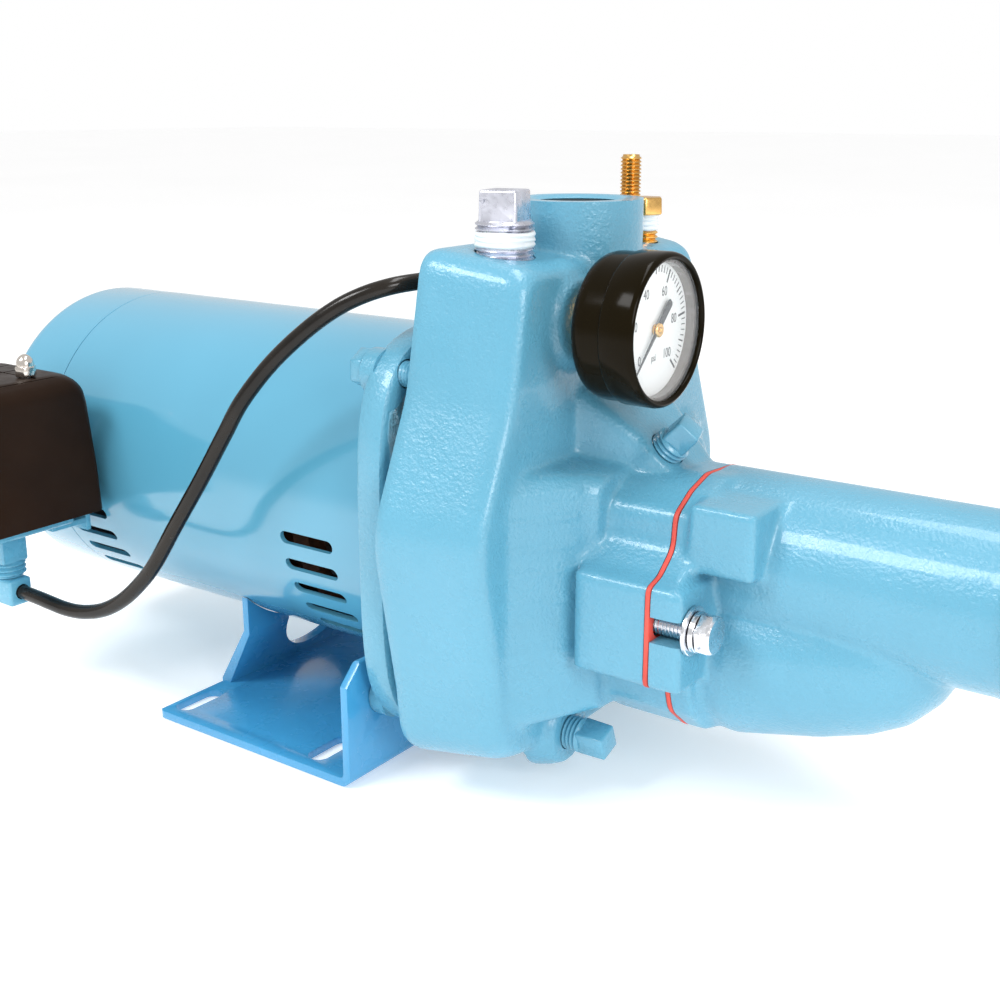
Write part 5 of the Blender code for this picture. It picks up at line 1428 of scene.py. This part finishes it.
class JETPUMP_OT_stage(bpy.types.Operator):
    """Pale floor, soft lights, white surround and the camera"""

    bl_idname = "jet_pump.stage"
    bl_label = "Stage"

    def execute(self, context):
        settings = context.scene.jet_pump_stage
        scene = context.scene
        camera_data = bpy.data.cameras.new("camera")
        camera_data.sensor_width = 36.0
        camera_data.lens = 47.52
        camera_data.clip_start = 0.02
        camera_data.clip_end = 30.0
        camera = bpy.data.objects.new("camera", camera_data)
        camera.location = (0.35745, -0.4124, 0.2458)
        camera.rotation_euler = (math.radians(73.4), 0.0, math.radians(35.5))
        scene.collection.objects.link(camera)
        scene.camera = camera
        bm = bmesh.new()
        bmesh.ops.create_grid(bm, x_segments=2, y_segments=2, size=12.0)
        mesh = bpy.data.meshes.new("floor")
        bm.to_mesh(mesh)
        bm.free()
        floor = bpy.data.objects.new("floor", mesh)
        floor.location = (0, 0, -0.0005)
        scene.collection.objects.link(floor)
        floor.data.materials.append(surface(
            "pale_floor", (0.92, 0.92, 0.92), 0.8, mottle=0.01, mottle_size=2, Specular_IOR_Level=0.1,
            Emission_Color=(1, 1, 1, 1), Emission_Strength=0.31,
        ))
        world = bpy.data.worlds.new("surround")
        world.use_nodes = True
        self.light_surround(world.node_tree, settings.sky)
        scene.world = world
        middle = (0.0, 0.0, 0.1)
        soft_light("key_light", (-0.35, -0.95, 1.15), middle, (0.55, 0.40), settings.key_power)
        soft_light("top_light", (0.20, 0.05, 1.20), (0.15, 0.0, 0.1), (0.9, 0.22), settings.key_power * 0.45)
        soft_light("fill_light", (1.05, -0.45, 0.55), middle, (0.45, 0.45), settings.fill_power)
        scene.view_settings.view_transform = "Standard"
        return {"FINISHED"}

    def light_surround(self, tree, strength):
        """A white backdrop that lights the pump less brightly than the camera sees it."""
        backdrop = tree.nodes["Background"]
        backdrop.inputs["Strength"].default_value = strength
        backdrop.inputs["Color"].default_value = (1, 1, 1, 1)
        room = tree.nodes.new("ShaderNodeBackground")
        room.inputs["Strength"].default_value = strength * 0.72
        room.inputs["Color"].default_value = (1, 1, 1, 1)
        seen = tree.nodes.new("ShaderNodeLightPath")
        mix = tree.nodes.new("ShaderNodeMixShader")
        tree.links.new(seen.outputs["Is Camera Ray"], mix.inputs[0])
        tree.links.new(room.outputs["Background"], mix.inputs[1])
        tree.links.new(backdrop.outputs["Background"], mix.inputs[2])
        tree.links.new(mix.outputs["Shader"], tree.nodes["World Output"].inputs["Surface"])


class JETPUMP_PT_panel(bpy.types.Panel):
    """Lists the pump's sizes and colours, and the step that builds each piece"""

    bl_label = "Jet Pump"
    bl_idname = "JETPUMP_PT_panel"
    bl_space_type = "VIEW_3D"
    bl_region_type = "UI"
    bl_category = "Jet Pump"

    def draw(self, context):
        layout = self.layout
        for name in ("jet_pump_casting", "jet_pump_motor", "jet_pump_trim", "jet_pump_stage"):
            settings = getattr(context.scene, name)
            box = layout.box()
            for key in settings.bl_rna.properties.keys():
                if key not in {"rna_type", "name"}:
                    box.prop(settings, key)
        for step in STEPS:
            layout.operator(step.bl_idname)


SETTINGS = {
    "jet_pump_casting": JetPumpCastingSettings,
    "jet_pump_motor": JetPumpMotorSettings,
    "jet_pump_trim": JetPumpTrimSettings,
    "jet_pump_stage": JetPumpStageSettings,
}
STEPS = (
    JETPUMP_OT_stage, JETPUMP_OT_tube, JETPUMP_OT_casing, JETPUMP_OT_ejector, JETPUMP_OT_flange,
    JETPUMP_OT_motor, JETPUMP_OT_foot, JETPUMP_OT_ejector_joint, JETPUMP_OT_casing_bolts, JETPUMP_OT_plugs,
    JETPUMP_OT_gauge, JETPUMP_OT_switch, JETPUMP_OT_inside,
)


def register():
    for name, group in SETTINGS.items():
        bpy.utils.register_class(group)
        setattr(bpy.types.Scene, name, PointerProperty(type=group))
    for step in STEPS:
        bpy.utils.register_class(step)
    bpy.utils.register_class(JETPUMP_PT_panel)


def unregister():
    bpy.utils.unregister_class(JETPUMP_PT_panel)
    for step in reversed(STEPS):
        bpy.utils.unregister_class(step)
    for name, group in SETTINGS.items():
        delattr(bpy.types.Scene, name)
        bpy.utils.unregister_class(group)


def main():
    register()
    for step in STEPS:
        area, action = step.bl_idname.split(".")
        getattr(getattr(bpy.ops, area), action)()


if __name__ == "__main__":
    main()
